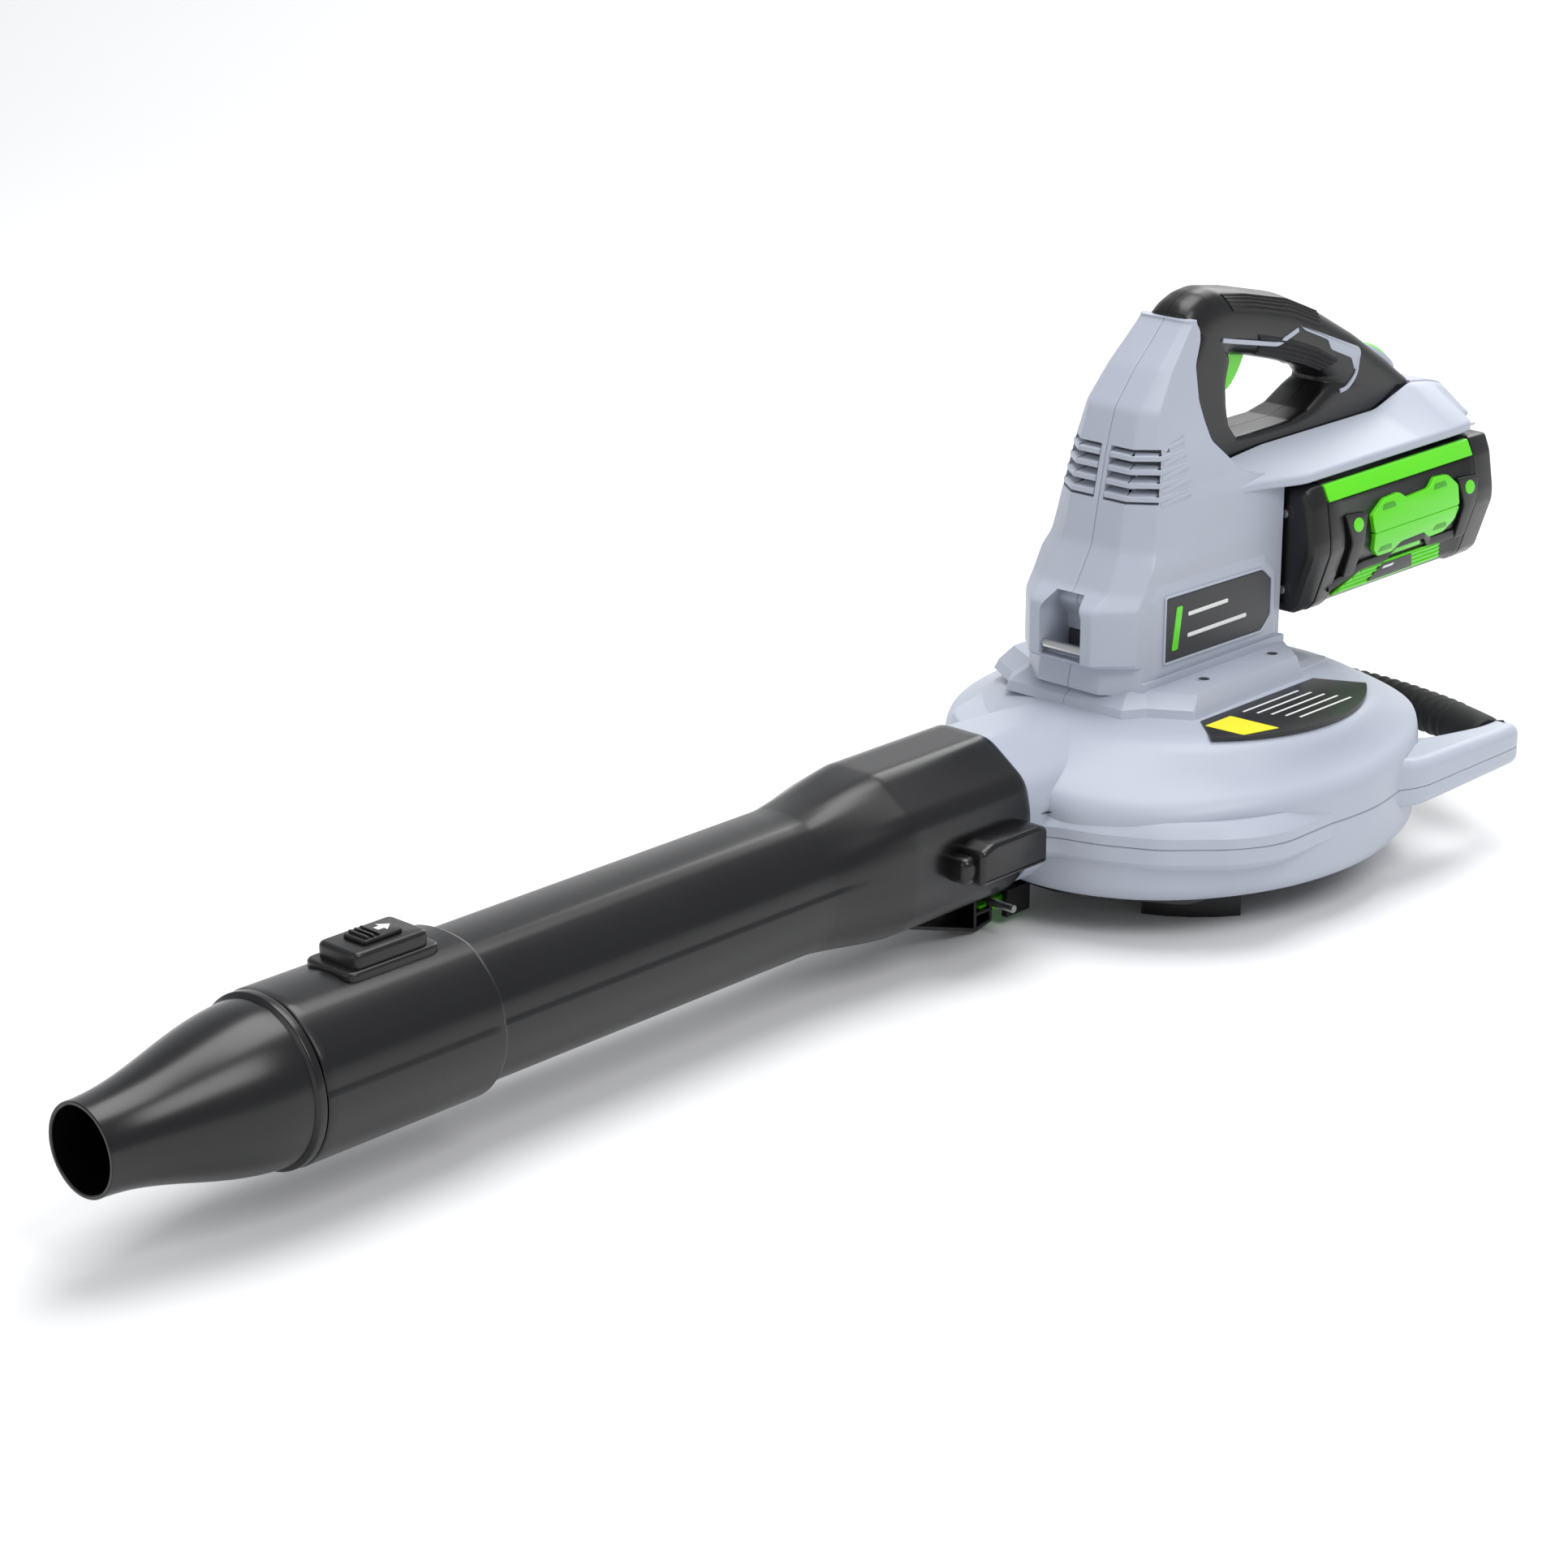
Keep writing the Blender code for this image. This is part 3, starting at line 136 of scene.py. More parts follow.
def rounded(corners: Array | list, radius: float | Array, steps: int = 5, closed: bool = True) -> Array:
    """Corners turned into parabolic arcs.

    Each corner P with neighbours A and B becomes (1-t)^2 S + 2t(1-t) P + t^2 E, where S and E lie a radius
    away from P towards A and B, or 45% of the way on a short edge. Works on any leading axes.

    Args:
        corners: shape (..., corners, dimensions).
        radius: one value, or one for each corner.
        steps: points along each arc.
        closed: whether the last corner joins the first.

    Returns:
        Shape (..., points, dimensions).
    """
    corners = np.asarray(corners, float)
    before = np.roll(corners, 1, axis=-2)
    after = np.roll(corners, -1, axis=-2)
    if not closed:
        before[..., 0, :] = corners[..., 0, :]
        after[..., -1, :] = corners[..., -1, :]
    reach = np.broadcast_to(np.asarray(radius, float), corners.shape[:-1])[..., None]
    back, ahead = before - corners, after - corners
    back_length = np.maximum(np.linalg.norm(back, axis=-1, keepdims=True), TINY)
    ahead_length = np.maximum(np.linalg.norm(ahead, axis=-1, keepdims=True), TINY)
    start = corners + back * np.minimum(reach / back_length, 0.45)
    end = corners + ahead * np.minimum(reach / ahead_length, 0.45)
    t = np.linspace(0.0, 1.0, steps)[:, None]
    peak = corners[..., None, :]
    arcs = (1 - t) ** 2 * start[..., None, :] + 2 * t * (1 - t) * peak + t ** 2 * end[..., None, :]
    flat = arcs.reshape(*corners.shape[:-2], -1, corners.shape[-1])
    return flat if closed else flat[..., steps - 1:flat.shape[-2] - steps + 1, :]


def inset(outline: Array, distance: float) -> Array:
    """A closed outline (n, 2) moved inwards: each point goes along its corner's bisector by
    distance / cos(half the turn)."""
    ahead = np.roll(outline, -1, axis=0) - outline
    ahead /= np.maximum(np.linalg.norm(ahead, axis=1, keepdims=True), TINY)
    behind = np.roll(ahead, 1, axis=0)
    area = np.sum(outline[:, 0] * np.roll(outline[:, 1], -1) - np.roll(outline[:, 0], -1) * outline[:, 1])
    turn = math.copysign(1.0, area)
    normal = np.stack([-ahead[:, 1] - behind[:, 1], ahead[:, 0] + behind[:, 0]], axis=1) * turn
    normal /= np.maximum(np.linalg.norm(normal, axis=1, keepdims=True), TINY)
    side = np.stack([-ahead[:, 1], ahead[:, 0]], axis=1) * turn
    scale = distance / np.maximum(np.sum(normal * side, axis=1), 0.5)
    return outline + normal * scale[:, None]


class Axis(Enum):
    """Direction that an outline is carried along, with the columns of outline a, outline b and height."""

    X = (1, 2, 0)
    V = (0, 2, 1)
    Z = (0, 1, 2)


def layers(rows: list[tuple[Array, float]], axis: Axis) -> Array:
    """Outlines with their heights along an axis, as places (rows, points, 3)."""
    points = np.empty((len(rows), len(rows[0][0]), 3))
    for row, (outline, height) in zip(points, rows):
        row[:, axis.value[0]] = outline[:, 0]
        row[:, axis.value[1]] = outline[:, 1]
        row[:, axis.value[2]] = height
    return points


def pillow(outline: Array, low: float, high: float, radius: float = 0.0, axis: Axis = Axis.V,
           foot: float = 0.0, steps: int = 4) -> Surface:
    """A plate whose edges are quarter rounds: height = edge -/+ r (1 - cos a), inset = r (1 - sin a).

    Args:
        outline: (a, b) corners: (v, z) along X, (x, z) along V, or (x, v) along Z.
        low: first height.
        high: last height, where the edge has the radius.
        radius: of the edge at high.
        axis: what the height runs along.
        foot: radius of the edge at low.
        steps: points in each quarter round.

    Returns:
        The closed plate.
    """
    sign = math.copysign(1.0, high - low)
    a = np.linspace(0.0, math.pi / 2, steps + 1)
    levels: list[tuple[float, float]] = []
    if foot:
        levels += list(zip(low + sign * foot * (1 - np.cos(a)), foot * (1 - np.sin(a))))
    else:
        levels.append((low, 0.0))
    if radius:
        levels += list(zip((high - sign * radius * (1 - np.cos(a)))[::-1], (radius * (1 - np.sin(a)))[::-1]))
    else:
        levels.append((high, 0.0))
    return grid(layers([(inset(outline, shrink) if shrink > 1e-6 else outline, height)
                        for height, shrink in levels], axis))


def box(low: tuple[float, float, float], high: tuple[float, float, float], radius: float = 0.6) -> Surface:
    """A block with rounded edges, between two corners."""
    outline = np.array([(low[0], low[1]), (high[0], low[1]), (high[0], high[1]), (low[0], high[1])], float)
    return pillow(rounded(outline, radius * 1.5, 4), low[2], high[2], radius, Axis.Z, foot=radius)


def revolve(profile: Array, centre: tuple[float, float, float], axis: Axis, steps: int = 96) -> Surface:
    """A closed (radius, height) profile turned about an axis: (r cos a, r sin a, height) at each angle."""
    angle = np.linspace(0.0, 2 * math.pi, steps, endpoint=False)[:, None]
    around = [profile[None, :, 0] * np.cos(angle), profile[None, :, 0] * np.sin(angle),
              np.broadcast_to(profile[None, :, 1], (steps, len(profile)))]
    points = np.empty((steps, len(profile), 3))
    for column, values in zip(axis.value, around):
        points[:, :, column] = values
    return grid(points + np.array(centre), loop=True)


def sweep(path: Array, section: Array, up: tuple[float, float, float], closed: bool = False) -> Surface:
    """A section carried along a path: path + a * side + b * top, where side = tangent x up and
    top = side x tangent.

    Args:
        path: places (n, 3).
        section: (a, b) outline.
        up: direction that the section's b side faces.
        closed: whether the path is a ring.

    Returns:
        The closed bar.
    """
    tangent = np.gradient(path, axis=0)
    if closed:
        tangent = np.roll(path, -1, axis=0) - np.roll(path, 1, axis=0)
    tangent /= np.maximum(np.linalg.norm(tangent, axis=1, keepdims=True), TINY)
    side = np.cross(tangent, np.array(up))
    side /= np.maximum(np.linalg.norm(side, axis=1, keepdims=True), TINY)
    top = np.cross(side, tangent)
    points = path[:, None] + section[None, :, :1] * side[:, None] + section[None, :, 1:] * top[:, None]
    return grid(points, loop=closed)


def ellipse(a: float, b: float, steps: int = 20) -> Array:
    """Outline of an ellipse."""
    angle = np.linspace(0.0, 2 * math.pi, steps, endpoint=False)
    return np.stack([a * np.cos(angle), b * np.sin(angle)], axis=1)


def rounded_box(half_a: float, half_b: float, radius: float, steps: int = 4) -> Array:
    """Outline of a rectangle with round corners."""
    corners = np.array([(-half_a, -half_b), (half_a, -half_b), (half_a, half_b), (-half_a, half_b)])
    return rounded(corners, radius * 1.4, steps)


def smooth(values: Array, width: int) -> Array:
    """Running mean over the first axis, with the ends held."""
    padded = np.concatenate([np.repeat(values[:1], width, 0), values, np.repeat(values[-1:], width, 0)])
    total = np.cumsum(np.concatenate([np.zeros_like(padded[:1]), padded]), axis=0)
    span = 2 * width + 1
    return (total[span:] - total[:-span]) / span


def polygon_radius(corners: Array, angles: Array) -> Array:
    """Distance from the centre to a convex polygon along each angle: the least positive n.c / n.ray over
    its edges, n being an edge's outward normal."""
    edge = np.roll(corners, -1, axis=0) - corners
    normal = np.stack([edge[:, 1], -edge[:, 0]], axis=1)
    offset = np.sum(normal * corners, axis=1)
    normal *= np.sign(offset)[:, None]
    facing = normal[None, :, 0] * np.cos(angles)[:, None] + normal[None, :, 1] * np.sin(angles)[:, None]
    reach = np.where(facing > TINY, np.abs(offset)[None] / np.maximum(facing, TINY), 1e9)
    return reach.min(axis=1)


# ---------------------------------------------------------------- Finishes

def linear_colour(code: str) -> tuple[float, float, float, float]:
    """An sRGB hex colour as linear RGBA."""
    channels = [int(code[i:i + 2], 16) / 255 for i in (0, 2, 4)]
    values = [c / 12.92 if c <= 0.04045 else ((c + 0.055) / 1.055) ** 2.4 for c in channels]
    return values[0], values[1], values[2], 1.0


def add_node(tree: bpy.types.NodeTree, kind: str, settings: dict | None = None,
             links: dict | None = None) -> bpy.types.Node:
    """Adds a node.

    Args:
        tree: the material's tree.
        kind: Blender's node type.
        settings: attribute or socket names with their values.
        links: socket names with the output sockets that feed them.

    Returns:
        The node.
    """
    node = tree.nodes.new(kind)
    for name, value in (settings or {}).items():
        if name in node.inputs:
            node.inputs[name].default_value = value
        elif name.isdigit():
            node.inputs[int(name)].default_value = value
        else:
            setattr(node, name, value)
    for name, source in (links or {}).items():
        tree.links.new(source, node.inputs[int(name) if name.isdigit() else name])
    return node


@dataclass(frozen=True)
class Finish:
    """A real material with its surface.

    The colour wanders a little between two hex values over stretches of cloud millimetres, the roughness
    with it, and a grain of grain millimetres lifts the surface by depth millimetres.
    """

    name: str
    slot: str
    colour: str
    shade: str
    roughness: float
    spread: float = 0.06
    metallic: float = 0.0
    grain: float = 1.2
    depth: float = 0.03
    cloud: float = 60.0
    coat: float = 0.0
    ior: float = 1.5
    brushed: bool = False

    def material(self) -> bpy.types.Material:
        """The Blender material, made on first use."""
        found = bpy.data.materials.get(self.name)
        if found:
            return found
        made = bpy.data.materials.new(self.name)
        made.use_nodes = True
        tree = made.node_tree
        shader = tree.nodes["Principled BSDF"]
        shader.inputs["Metallic"].default_value = self.metallic
        if not self.metallic:
            shader.inputs["IOR"].default_value = self.ior
        if self.coat:
            shader.inputs["Coat Weight"].default_value = self.coat
            shader.inputs["Coat Roughness"].default_value = 0.12
        place = add_node(tree, "ShaderNodeTexCoord").outputs["Object"]
        if self.brushed:
            stretch = add_node(tree, "ShaderNodeMapping", {"Scale": (0.08, 1.0, 1.0)}, {"Vector": place})
            place = stretch.outputs["Vector"]
        broad = add_node(tree, "ShaderNodeTexNoise", {"Scale": 1 / (self.cloud * MM), "Detail": 3.0},
                         {"Vector": place})
        fine = add_node(tree, "ShaderNodeTexNoise", {"Scale": 1 / (self.grain * MM), "Detail": 2.0},
                        {"Vector": place})
        colour = add_node(tree, "ShaderNodeMix",
                          {"data_type": "RGBA", "6": linear_colour(self.colour),
                           "7": linear_colour(self.shade)},
                          {"0": broad.outputs["Fac"]})
        tree.links.new(colour.outputs[2], shader.inputs["Base Color"])
        rough = add_node(tree, "ShaderNodeMapRange",
                         {"To Min": self.roughness - self.spread, "To Max": self.roughness + self.spread},
                         {"Value": broad.outputs["Fac"]})
        tree.links.new(rough.outputs["Result"], shader.inputs["Roughness"])
        bump = add_node(tree, "ShaderNodeBump", {"Strength": 0.35, "Distance": self.depth * MM},
                        {"Height": fine.outputs["Fac"]})
        tree.links.new(bump.outputs["Normal"], shader.inputs["Normal"])
        return made


# Injection-moulded ABS with a fine spark-eroded texture: a soft even sheen, cool light grey.
GREY_ABS = Finish("moulded ABS, light grey", "grey_shell", "A9AEBC", "AFB4C1", 0.40)
# The same ABS painted dark in the deeper pockets: painted shade where the recesses fall into shadow.
PAINTED_SHADE_ABS = Finish("moulded ABS, painted pocket shade", "grey_shell", "33353A", "3B3D42", 0.6)
# Glass-filled nylon, moulded: black with a low, slightly uneven sheen.
BLACK_NYLON = Finish("moulded nylon, black", "black_shell", "0B0B0C", "101011", 0.33, depth=0.03)
# Blow-moulded polypropylene: smoother and glossier than the shells.
TUBE_PP = Finish("blow-moulded polypropylene, black", "black_tube", "08080A", "0C0C0E", 0.26, depth=0.015,
                 grain=2.0, cloud=120.0)
# Thermoplastic rubber moulded over the grip: dull, with no highlight edge.
GRIP_RUBBER = Finish("overmoulded rubber, black", "rubber_grip", "161617", "1D1D1E", 0.68, grain=0.9,
                     depth=0.06)
# Polycarbonate blend, coloured through and polished in the mould.
LIME_PC = Finish("moulded polycarbonate, lime green", "green_part", "59D60C", "62DE14", 0.33, depth=0.012,
                 coat=0.15)
# The same plastic painted darker green as the shade inside its slots.
LIME_SLOT_SHADE = Finish("moulded polycarbonate, painted slot shade", "green_part", "3C9A0A", "45A810", 0.45, depth=0.012)
# Moulded ABS insert with a satin face: darker and flatter than the shells around it.
BADGE_ABS = Finish("moulded ABS, dark grey badge", "dark_badge", "2E2E30", "353537", 0.42)
# Screen-printed polyester film: smooth, with a thin even gloss over black, yellow or white ink.
LABEL_FILM = Finish("printed polyester label, black", "label_film", "131314", "181819", 0.36, depth=0.004)
LABEL_YELLOW = Finish("printed polyester label, yellow", "label_film", "EFE21A", "F2E628", 0.38, depth=0.004)
LABEL_WHITE = Finish("printed polyester label, white", "label_film", "E4E4E2", "ECECEA", 0.38, depth=0.004)
# Turned or pressed steel and extruded aluminium: fine tool lines stretch the highlight one way.
TURNED_STEEL = Finish("turned steel", "steel", "C4C4C2", "D0D0CE", 0.28, metallic=1.0, grain=0.5, depth=0.01,
                      brushed=True)
PRESSED_STEEL = Finish("pressed steel", "motor_steel", "8C8E92", "97999D", 0.38, metallic=1.0, brushed=True)
EXTRUDED_ALUMINIUM = Finish("extruded aluminium", "aluminium", "B6B9BD", "C0C3C7", 0.36, metallic=1.0,
                            brushed=True)
# Enamelled copper wound in layers: a warm metal with a coarse grain.
COPPER_WIRE = Finish("wound copper wire", "copper_contact", "BF7F4C", "CC8E5C", 0.35, metallic=1.0, grain=0.8)
# Fan nylon, PVC shrink wrap and solder mask: plain inner parts, dull with a slight sheen.
FAN_NYLON = Finish("moulded nylon, fan black", "fan_nylon", "2A2B2E", "323337", 0.48)
CELL_WRAP = Finish("shrunk PVC wrap, blue", "cell_wrap", "3B69A8", "4373B4", 0.42)
SOLDER_MASK = Finish("solder mask, green", "circuit_board", "1C5531", "226038", 0.45)

SLOT_FINISH = {finish.slot: finish for finish in (
    GREY_ABS, BLACK_NYLON, TUBE_PP, GRIP_RUBBER, LIME_PC, BADGE_ABS, LABEL_FILM, TURNED_STEEL, PRESSED_STEEL,
    EXTRUDED_ALUMINIUM, COPPER_WIRE, FAN_NYLON, CELL_WRAP, SOLDER_MASK)}


# ---------------------------------------------------------------- Pieces

def new_object(name: str, surfaces: list[Surface], sharp: float = CREASE) -> bpy.types.Object:
    """One object from several closed surfaces, with its place in its mesh and its faces outwards."""
    starts = np.cumsum([0] + [len(surface.points) for surface in surfaces])
    points = DATUM.world(np.concatenate([surface.points for surface in surfaces]))
    faces = [[int(i + start) for i in face]
             for surface, start in zip(surfaces, starts) for face in surface.faces]
    mesh = bpy.data.meshes.new(name)
    mesh.from_pydata(points.tolist(), [], faces)
    tidy = bmesh.new()
    tidy.from_mesh(mesh)
    bmesh.ops.remove_doubles(tidy, verts=tidy.verts, dist=1e-6)
    bmesh.ops.recalc_face_normals(tidy, faces=tidy.faces)
    tidy.to_mesh(mesh)
    tidy.free()
    mesh.shade_smooth()
    mesh.set_sharp_from_angle(angle=math.radians(sharp))
    made = bpy.data.objects.new(name, mesh)
    bpy.context.scene.collection.objects.link(made)
    return made


def carve(obj: bpy.types.Object, cutters: list[Surface]) -> None:
    """Takes closed cutters out of obj for good."""
    tool = new_object(f"{obj.name} cutter", cutters)
    modifier = obj.modifiers.new("carve", "BOOLEAN")
    modifier.operation = "DIFFERENCE"
    modifier.object = tool
    graph = bpy.context.evaluated_depsgraph_get()
    mesh = bpy.data.meshes.new_from_object(obj.evaluated_get(graph))
    obj.modifiers.clear()
    obj.data = mesh
    bpy.data.objects.remove(tool, do_unlink=True)
    mesh.shade_smooth()
    mesh.set_sharp_from_angle(angle=math.radians(CREASE))


def piece(name: str, surfaces: list[Surface], finish: Finish, body: str, replaces: tuple[str, ...] = (),
          cutters: list[Surface] | None = None, sharp: float = CREASE) -> bpy.types.Object:
    """A finished piece on its body.

    Args:
        name: what a person would call it.
        surfaces: its closed surfaces.
        finish: its material.
        body: the moving body that it belongs to.
        replaces: CAD nodes that it stands for.
        cutters: closed surfaces that are taken out of it.
        sharp: angle in degrees past which an edge shades as a crease.

    Returns:
        The object.
    """
    made = new_object(name.replace(" ", "_"), surfaces, sharp)
    if cutters:
        carve(made, cutters)
    made.data.materials.clear()
    made.data.materials.append(finish.material())
    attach(made, body)
    if replaces:
        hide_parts(*replaces)
    LOG.info("%s: %d faces", name, len(made.data.polygons))
    return made


def both_sides(surfaces: list[Surface]) -> list[Surface]:
    """Surfaces with their mirror images."""
    return surfaces + [surface.mirrored() for surface in surfaces]


# ---------------------------------------------------------------- Fan casing

@dataclass
class ScrollCasing:
    """Volute casing: two halves with the air duct, the seam flange and the arms of the auxiliary handle."""

    seam_z: float = 66.0
    floor_z: float = 26.0
    shoulder_z: float = 99.0
    dome_z: float = 120.3
    cone_radius: float = 116.0
    eye_radius: float = 46.0
    shoulder_turns: tuple[float, ...] = (-25, 0, 11, 31, 49, 71, 93, 118, 137, 150, 270, 335)
    shoulder_radii: tuple[float, ...] = (152, 160, 150, 138, 133, 125, 122, 129, 147, 149, 149, 152)
    tube_z: float = 72.0
    outlet_x: float = 183.0
    turns: Array = field(default_factory=lambda: np.array(
        [-30, 0, 16, 31, 45, 60, 80, 108, 129, 146, 180, 270, 330], float))
    radii: Array = field(default_factory=lambda: np.array(
        [160, 169, 166, 160, 152, 145, 139, 139, 147, 149.6, 149.6, 149.6, 160], float))

    def around(self, turns: Array, radii: Array, angle: Array) -> Array:
        """Radius at angles in degrees, through the given radii and eased by a running mean."""
        fine = np.arange(0.0, 360.0, 2.0)
        radius = np.interp(fine, turns, radii, period=360)
        wrapped = np.concatenate([radius[-8:], radius, radius[:8]])
        eased = smooth(wrapped, 4)[8:-8]
        return np.interp(angle, fine, eased, period=360)

    def half_shell(self, upper: bool, steps: int = 192) -> Surface:
        """One half of the scroll: an outline of radius and height at each angle, turned about the fan.

        The outer skin runs from the seam up the wall, round the shoulder, up the cone and over the dome to
        the eye, and the inner skin comes back a few millimetres inside it.
        """
        angle = np.linspace(0.0, 360.0, steps, endpoint=False)
        wall = self.around(self.turns, self.radii, angle)
        shoulder = self.around(np.array(self.shoulder_turns, float), np.array(self.shoulder_radii, float),
                               angle)
        shoulder = np.minimum(shoulder, wall - 1.0)
        flat = np.ones_like(wall)
        seam, floor = self.seam_z, self.floor_z
        if upper:
            drop = self.shoulder_z - 2.0 - 0.55 * (wall - shoulder)
            corners = [(wall - 0.6, seam + SEAM), (wall, seam + 0.8), (wall, drop),
                       (shoulder, self.shoulder_z), (self.cone_radius, 116.2), (self.cone_radius - 14, 119.7),
                       (self.eye_radius, self.dome_z), (self.eye_radius, 118.0),
                       (self.cone_radius - 8, 113.0), (wall - 6, 86.0), (wall - 4, seam + SEAM)]
            radius = np.array([0.1, 0.4, 11, 11, 7, 5, 0.5, 0.5, 3, 3, 0.1])
        else:
            corners = [(wall - 0.6, seam - SEAM), (wall, seam - 0.8), (wall - 1.5, floor + 9),
                       (wall - 9, floor), (68.0, floor), (68.0, floor + 3), (wall - 12, floor + 3),
                       (wall - 5, floor + 12), (wall - 4, seam - SEAM)]
            radius = np.array([0.1, 0.4, 6, 6, 1, 1, 3, 3, 0.1])
        outline = np.stack([np.stack([flat * r, flat * z], axis=-1) for r, z in corners], axis=1)
        curve = rounded(outline, radius, 6)
        turn = np.radians(angle)[:, None]
        points = np.stack([curve[..., 0] * np.cos(turn), DATUM.fan_v + curve[..., 0] * np.sin(turn),
                           curve[..., 1]], axis=-1)
        return grid(points, loop=True)

    def duct(self, upper: bool) -> Surface:
        """Half of the air duct: its section grows a little from the scroll to the outlet."""
        edge = self.seam_z - self.tube_z
        if upper:
            half = [(52.0, edge + SEAM), (52.0, 14.0), (48.0, 32.0), (18.0, 53.0)]
        else:
            half = [(52.0, edge - SEAM), (49.0, -26.0), (40.0, -36.0), (20.0, -45.8)]
        section = np.array(half + [(-v, z) for v, z in reversed(half)])
        corner = np.array([0.4, 4, 8, 8, 8, 8, 4, 0.4])
        outline = rounded(section, corner, 6)
        x = np.linspace(60.0, self.outlet_x, 40)
        along = (x - x[0]) / (x[-1] - x[0])
        lift = np.where(outline[None, :, 1] > 0, 0.80 + 0.20 * along[:, None] ** 0.6, 1.0)
        flare = 1.0 + 0.34 * (1 - along[:, None]) ** 2 * (outline[None, :, 0] > 0)
        points = np.empty((len(x), len(outline), 3))
        points[..., 0] = x[:, None]
        points[..., 1] = outline[None, :, 0] * flare
        points[..., 2] = self.tube_z + outline[None, :, 1] * lift
        return grid(points)

    def spigot(self, upper: bool) -> Surface:
        """Half of the round spigot inside the tube."""
        edge = (self.seam_z - self.tube_z + (SEAM if upper else -SEAM)) / 46.0
        start = math.asin(edge)
        angle = np.linspace(start, math.pi - start, 33) if upper else np.linspace(start, -math.pi - start, 33)
        outer = np.stack([46.0 * np.cos(angle), self.tube_z + 46.0 * np.sin(angle)], axis=1)
        inner = np.stack([43.0 * np.cos(angle), self.tube_z + 43.0 * np.sin(angle)], axis=1)[::-1]
        return pillow(np.concatenate([outer, inner]), 170.0, 240.0, 0.0, Axis.X)

    def flange(self, upper: bool) -> Surface:
        """Rib along the seam on the near side, with its bevelled top or bottom."""
        fan_v = DATUM.fan_v
        corners = np.array([(182, 8), (168, 27), (160, 55), (143, 88), (112, 120), (92, 132), (76, 136.5),
                            (24, 136.5), (-2, 132), (-30, 100), (60, 40)], float) + np.array([0, fan_v])
        outline = rounded(corners, 9.0, 5)
        seam = self.seam_z
        if upper:
            levels = [(seam + SEAM, 0.6), (seam + 0.8, 0.0), (seam + 7, 0.0), (seam + 8.2, 0.8),
                      (seam + 15, 9.0)]
        else:
            levels = [(seam - 15, 6.0), (seam - 10.5, 0.7), (seam - 9.5, 0.0), (seam - 0.8, 0.0),
                      (seam - SEAM, 0.6)]
        return grid(layers([(inset(outline, shrink), z) for z, shrink in levels], Axis.Z))

    def arm(self, upper: bool, side: int) -> Surface:
        """One arm that carries the auxiliary handle."""
        corners = np.array([(-30, 124), (-62, 139.5), (-150, 139.5), (-176.5, 139.0), (-177.5, 117.5),
                            (-156, 117.5), (-112, 108), (-80, 90)], float)
        corners[:, 1] *= side
        outline = rounded(corners + np.array([0, DATUM.fan_v]), np.array([4, 10, 4, 16, 5, 10, 10, 4]), 8)
        seam = self.seam_z
        if upper:
            return tapered(pillow(outline, seam + SEAM, 84.0, 8.5, Axis.Z, foot=0.4, steps=8), True)
        return tapered(pillow(outline, seam - SEAM, 52.0, 7.5, Axis.Z, foot=0.4, steps=8), False)

    def far_steps(self) -> list[Surface]:
        """Stepped ribs where the far side of the casing meets the duct."""
        made = []
        for i in range(3):
            corners = np.array([(40 + 14 * i, -118 + 4 * i), (120 + 12 * i, -100), (150 + 8 * i, -60),
                                (90, -40), (20, -60)], float)
            outline = rounded(corners + np.array([0, DATUM.fan_v]), 10.0, 6)
            made.append(pillow(outline, self.seam_z + SEAM, 108.0 - 9 * i, 3.0, Axis.Z))
        return made

    def dome_ridge(self) -> Surface:
        """Low crease that runs across the dome behind the tower."""
        corners = np.array([(-60, 27), (-98, 27), (-103, 32), (-97, 37), (-60, 41)], float)
        outline = rounded(corners + np.array([0, DATUM.fan_v]), 4.0, 5)
        return pillow(outline, 112.0, 121.2, 1.2, Axis.Z)

    def build(self) -> None:
        """Makes both halves."""
        surfaces = [self.half_shell(True), self.duct(True), self.spigot(True), self.flange(True),
                    self.arm(True, 1), self.arm(True, -1), self.dome_ridge()] + self.far_steps()
        piece("upper casing", surfaces, GREY_ABS, "housing", ("upper_scroll_shell",))
        surfaces = [self.half_shell(False), self.duct(False), self.spigot(False), self.flange(False),
                    self.arm(False, 1), self.arm(False, -1)]
        piece("lower casing", surfaces, GREY_ABS, "housing", ("lower_scroll_shell",))


def tapered(surface: Surface, upper: bool) -> Surface:
    """Arm whose top (or underside) falls away towards the knuckle and swells towards the casing.

    Between x = -60 and x = -150 each z is pulled to the seam by up to 18% (10% underneath), and between
    x = -60 and x = -20 the top is lifted away from it by up to half.

    Args:
        surface: the straight arm.
        upper: whether it is the arm's top half.

    Returns:
        The shaped arm.
    """
    points = surface.points.copy()
    bend_x, seam_z = -60.0, 66.0
    share = np.clip((bend_x - points[:, 0]) / 90, 0, 1) * (0.18 if upper else 0.1)
    rise = np.clip((points[:, 0] - bend_x) / 40, 0, 1) * 0.5 if upper else 0.0
    points[:, 2] += (seam_z - points[:, 2]) * (share - rise)
    return Surface(points, surface.faces)


# ---------------------------------------------------------------- Tower, collar, beam and nose

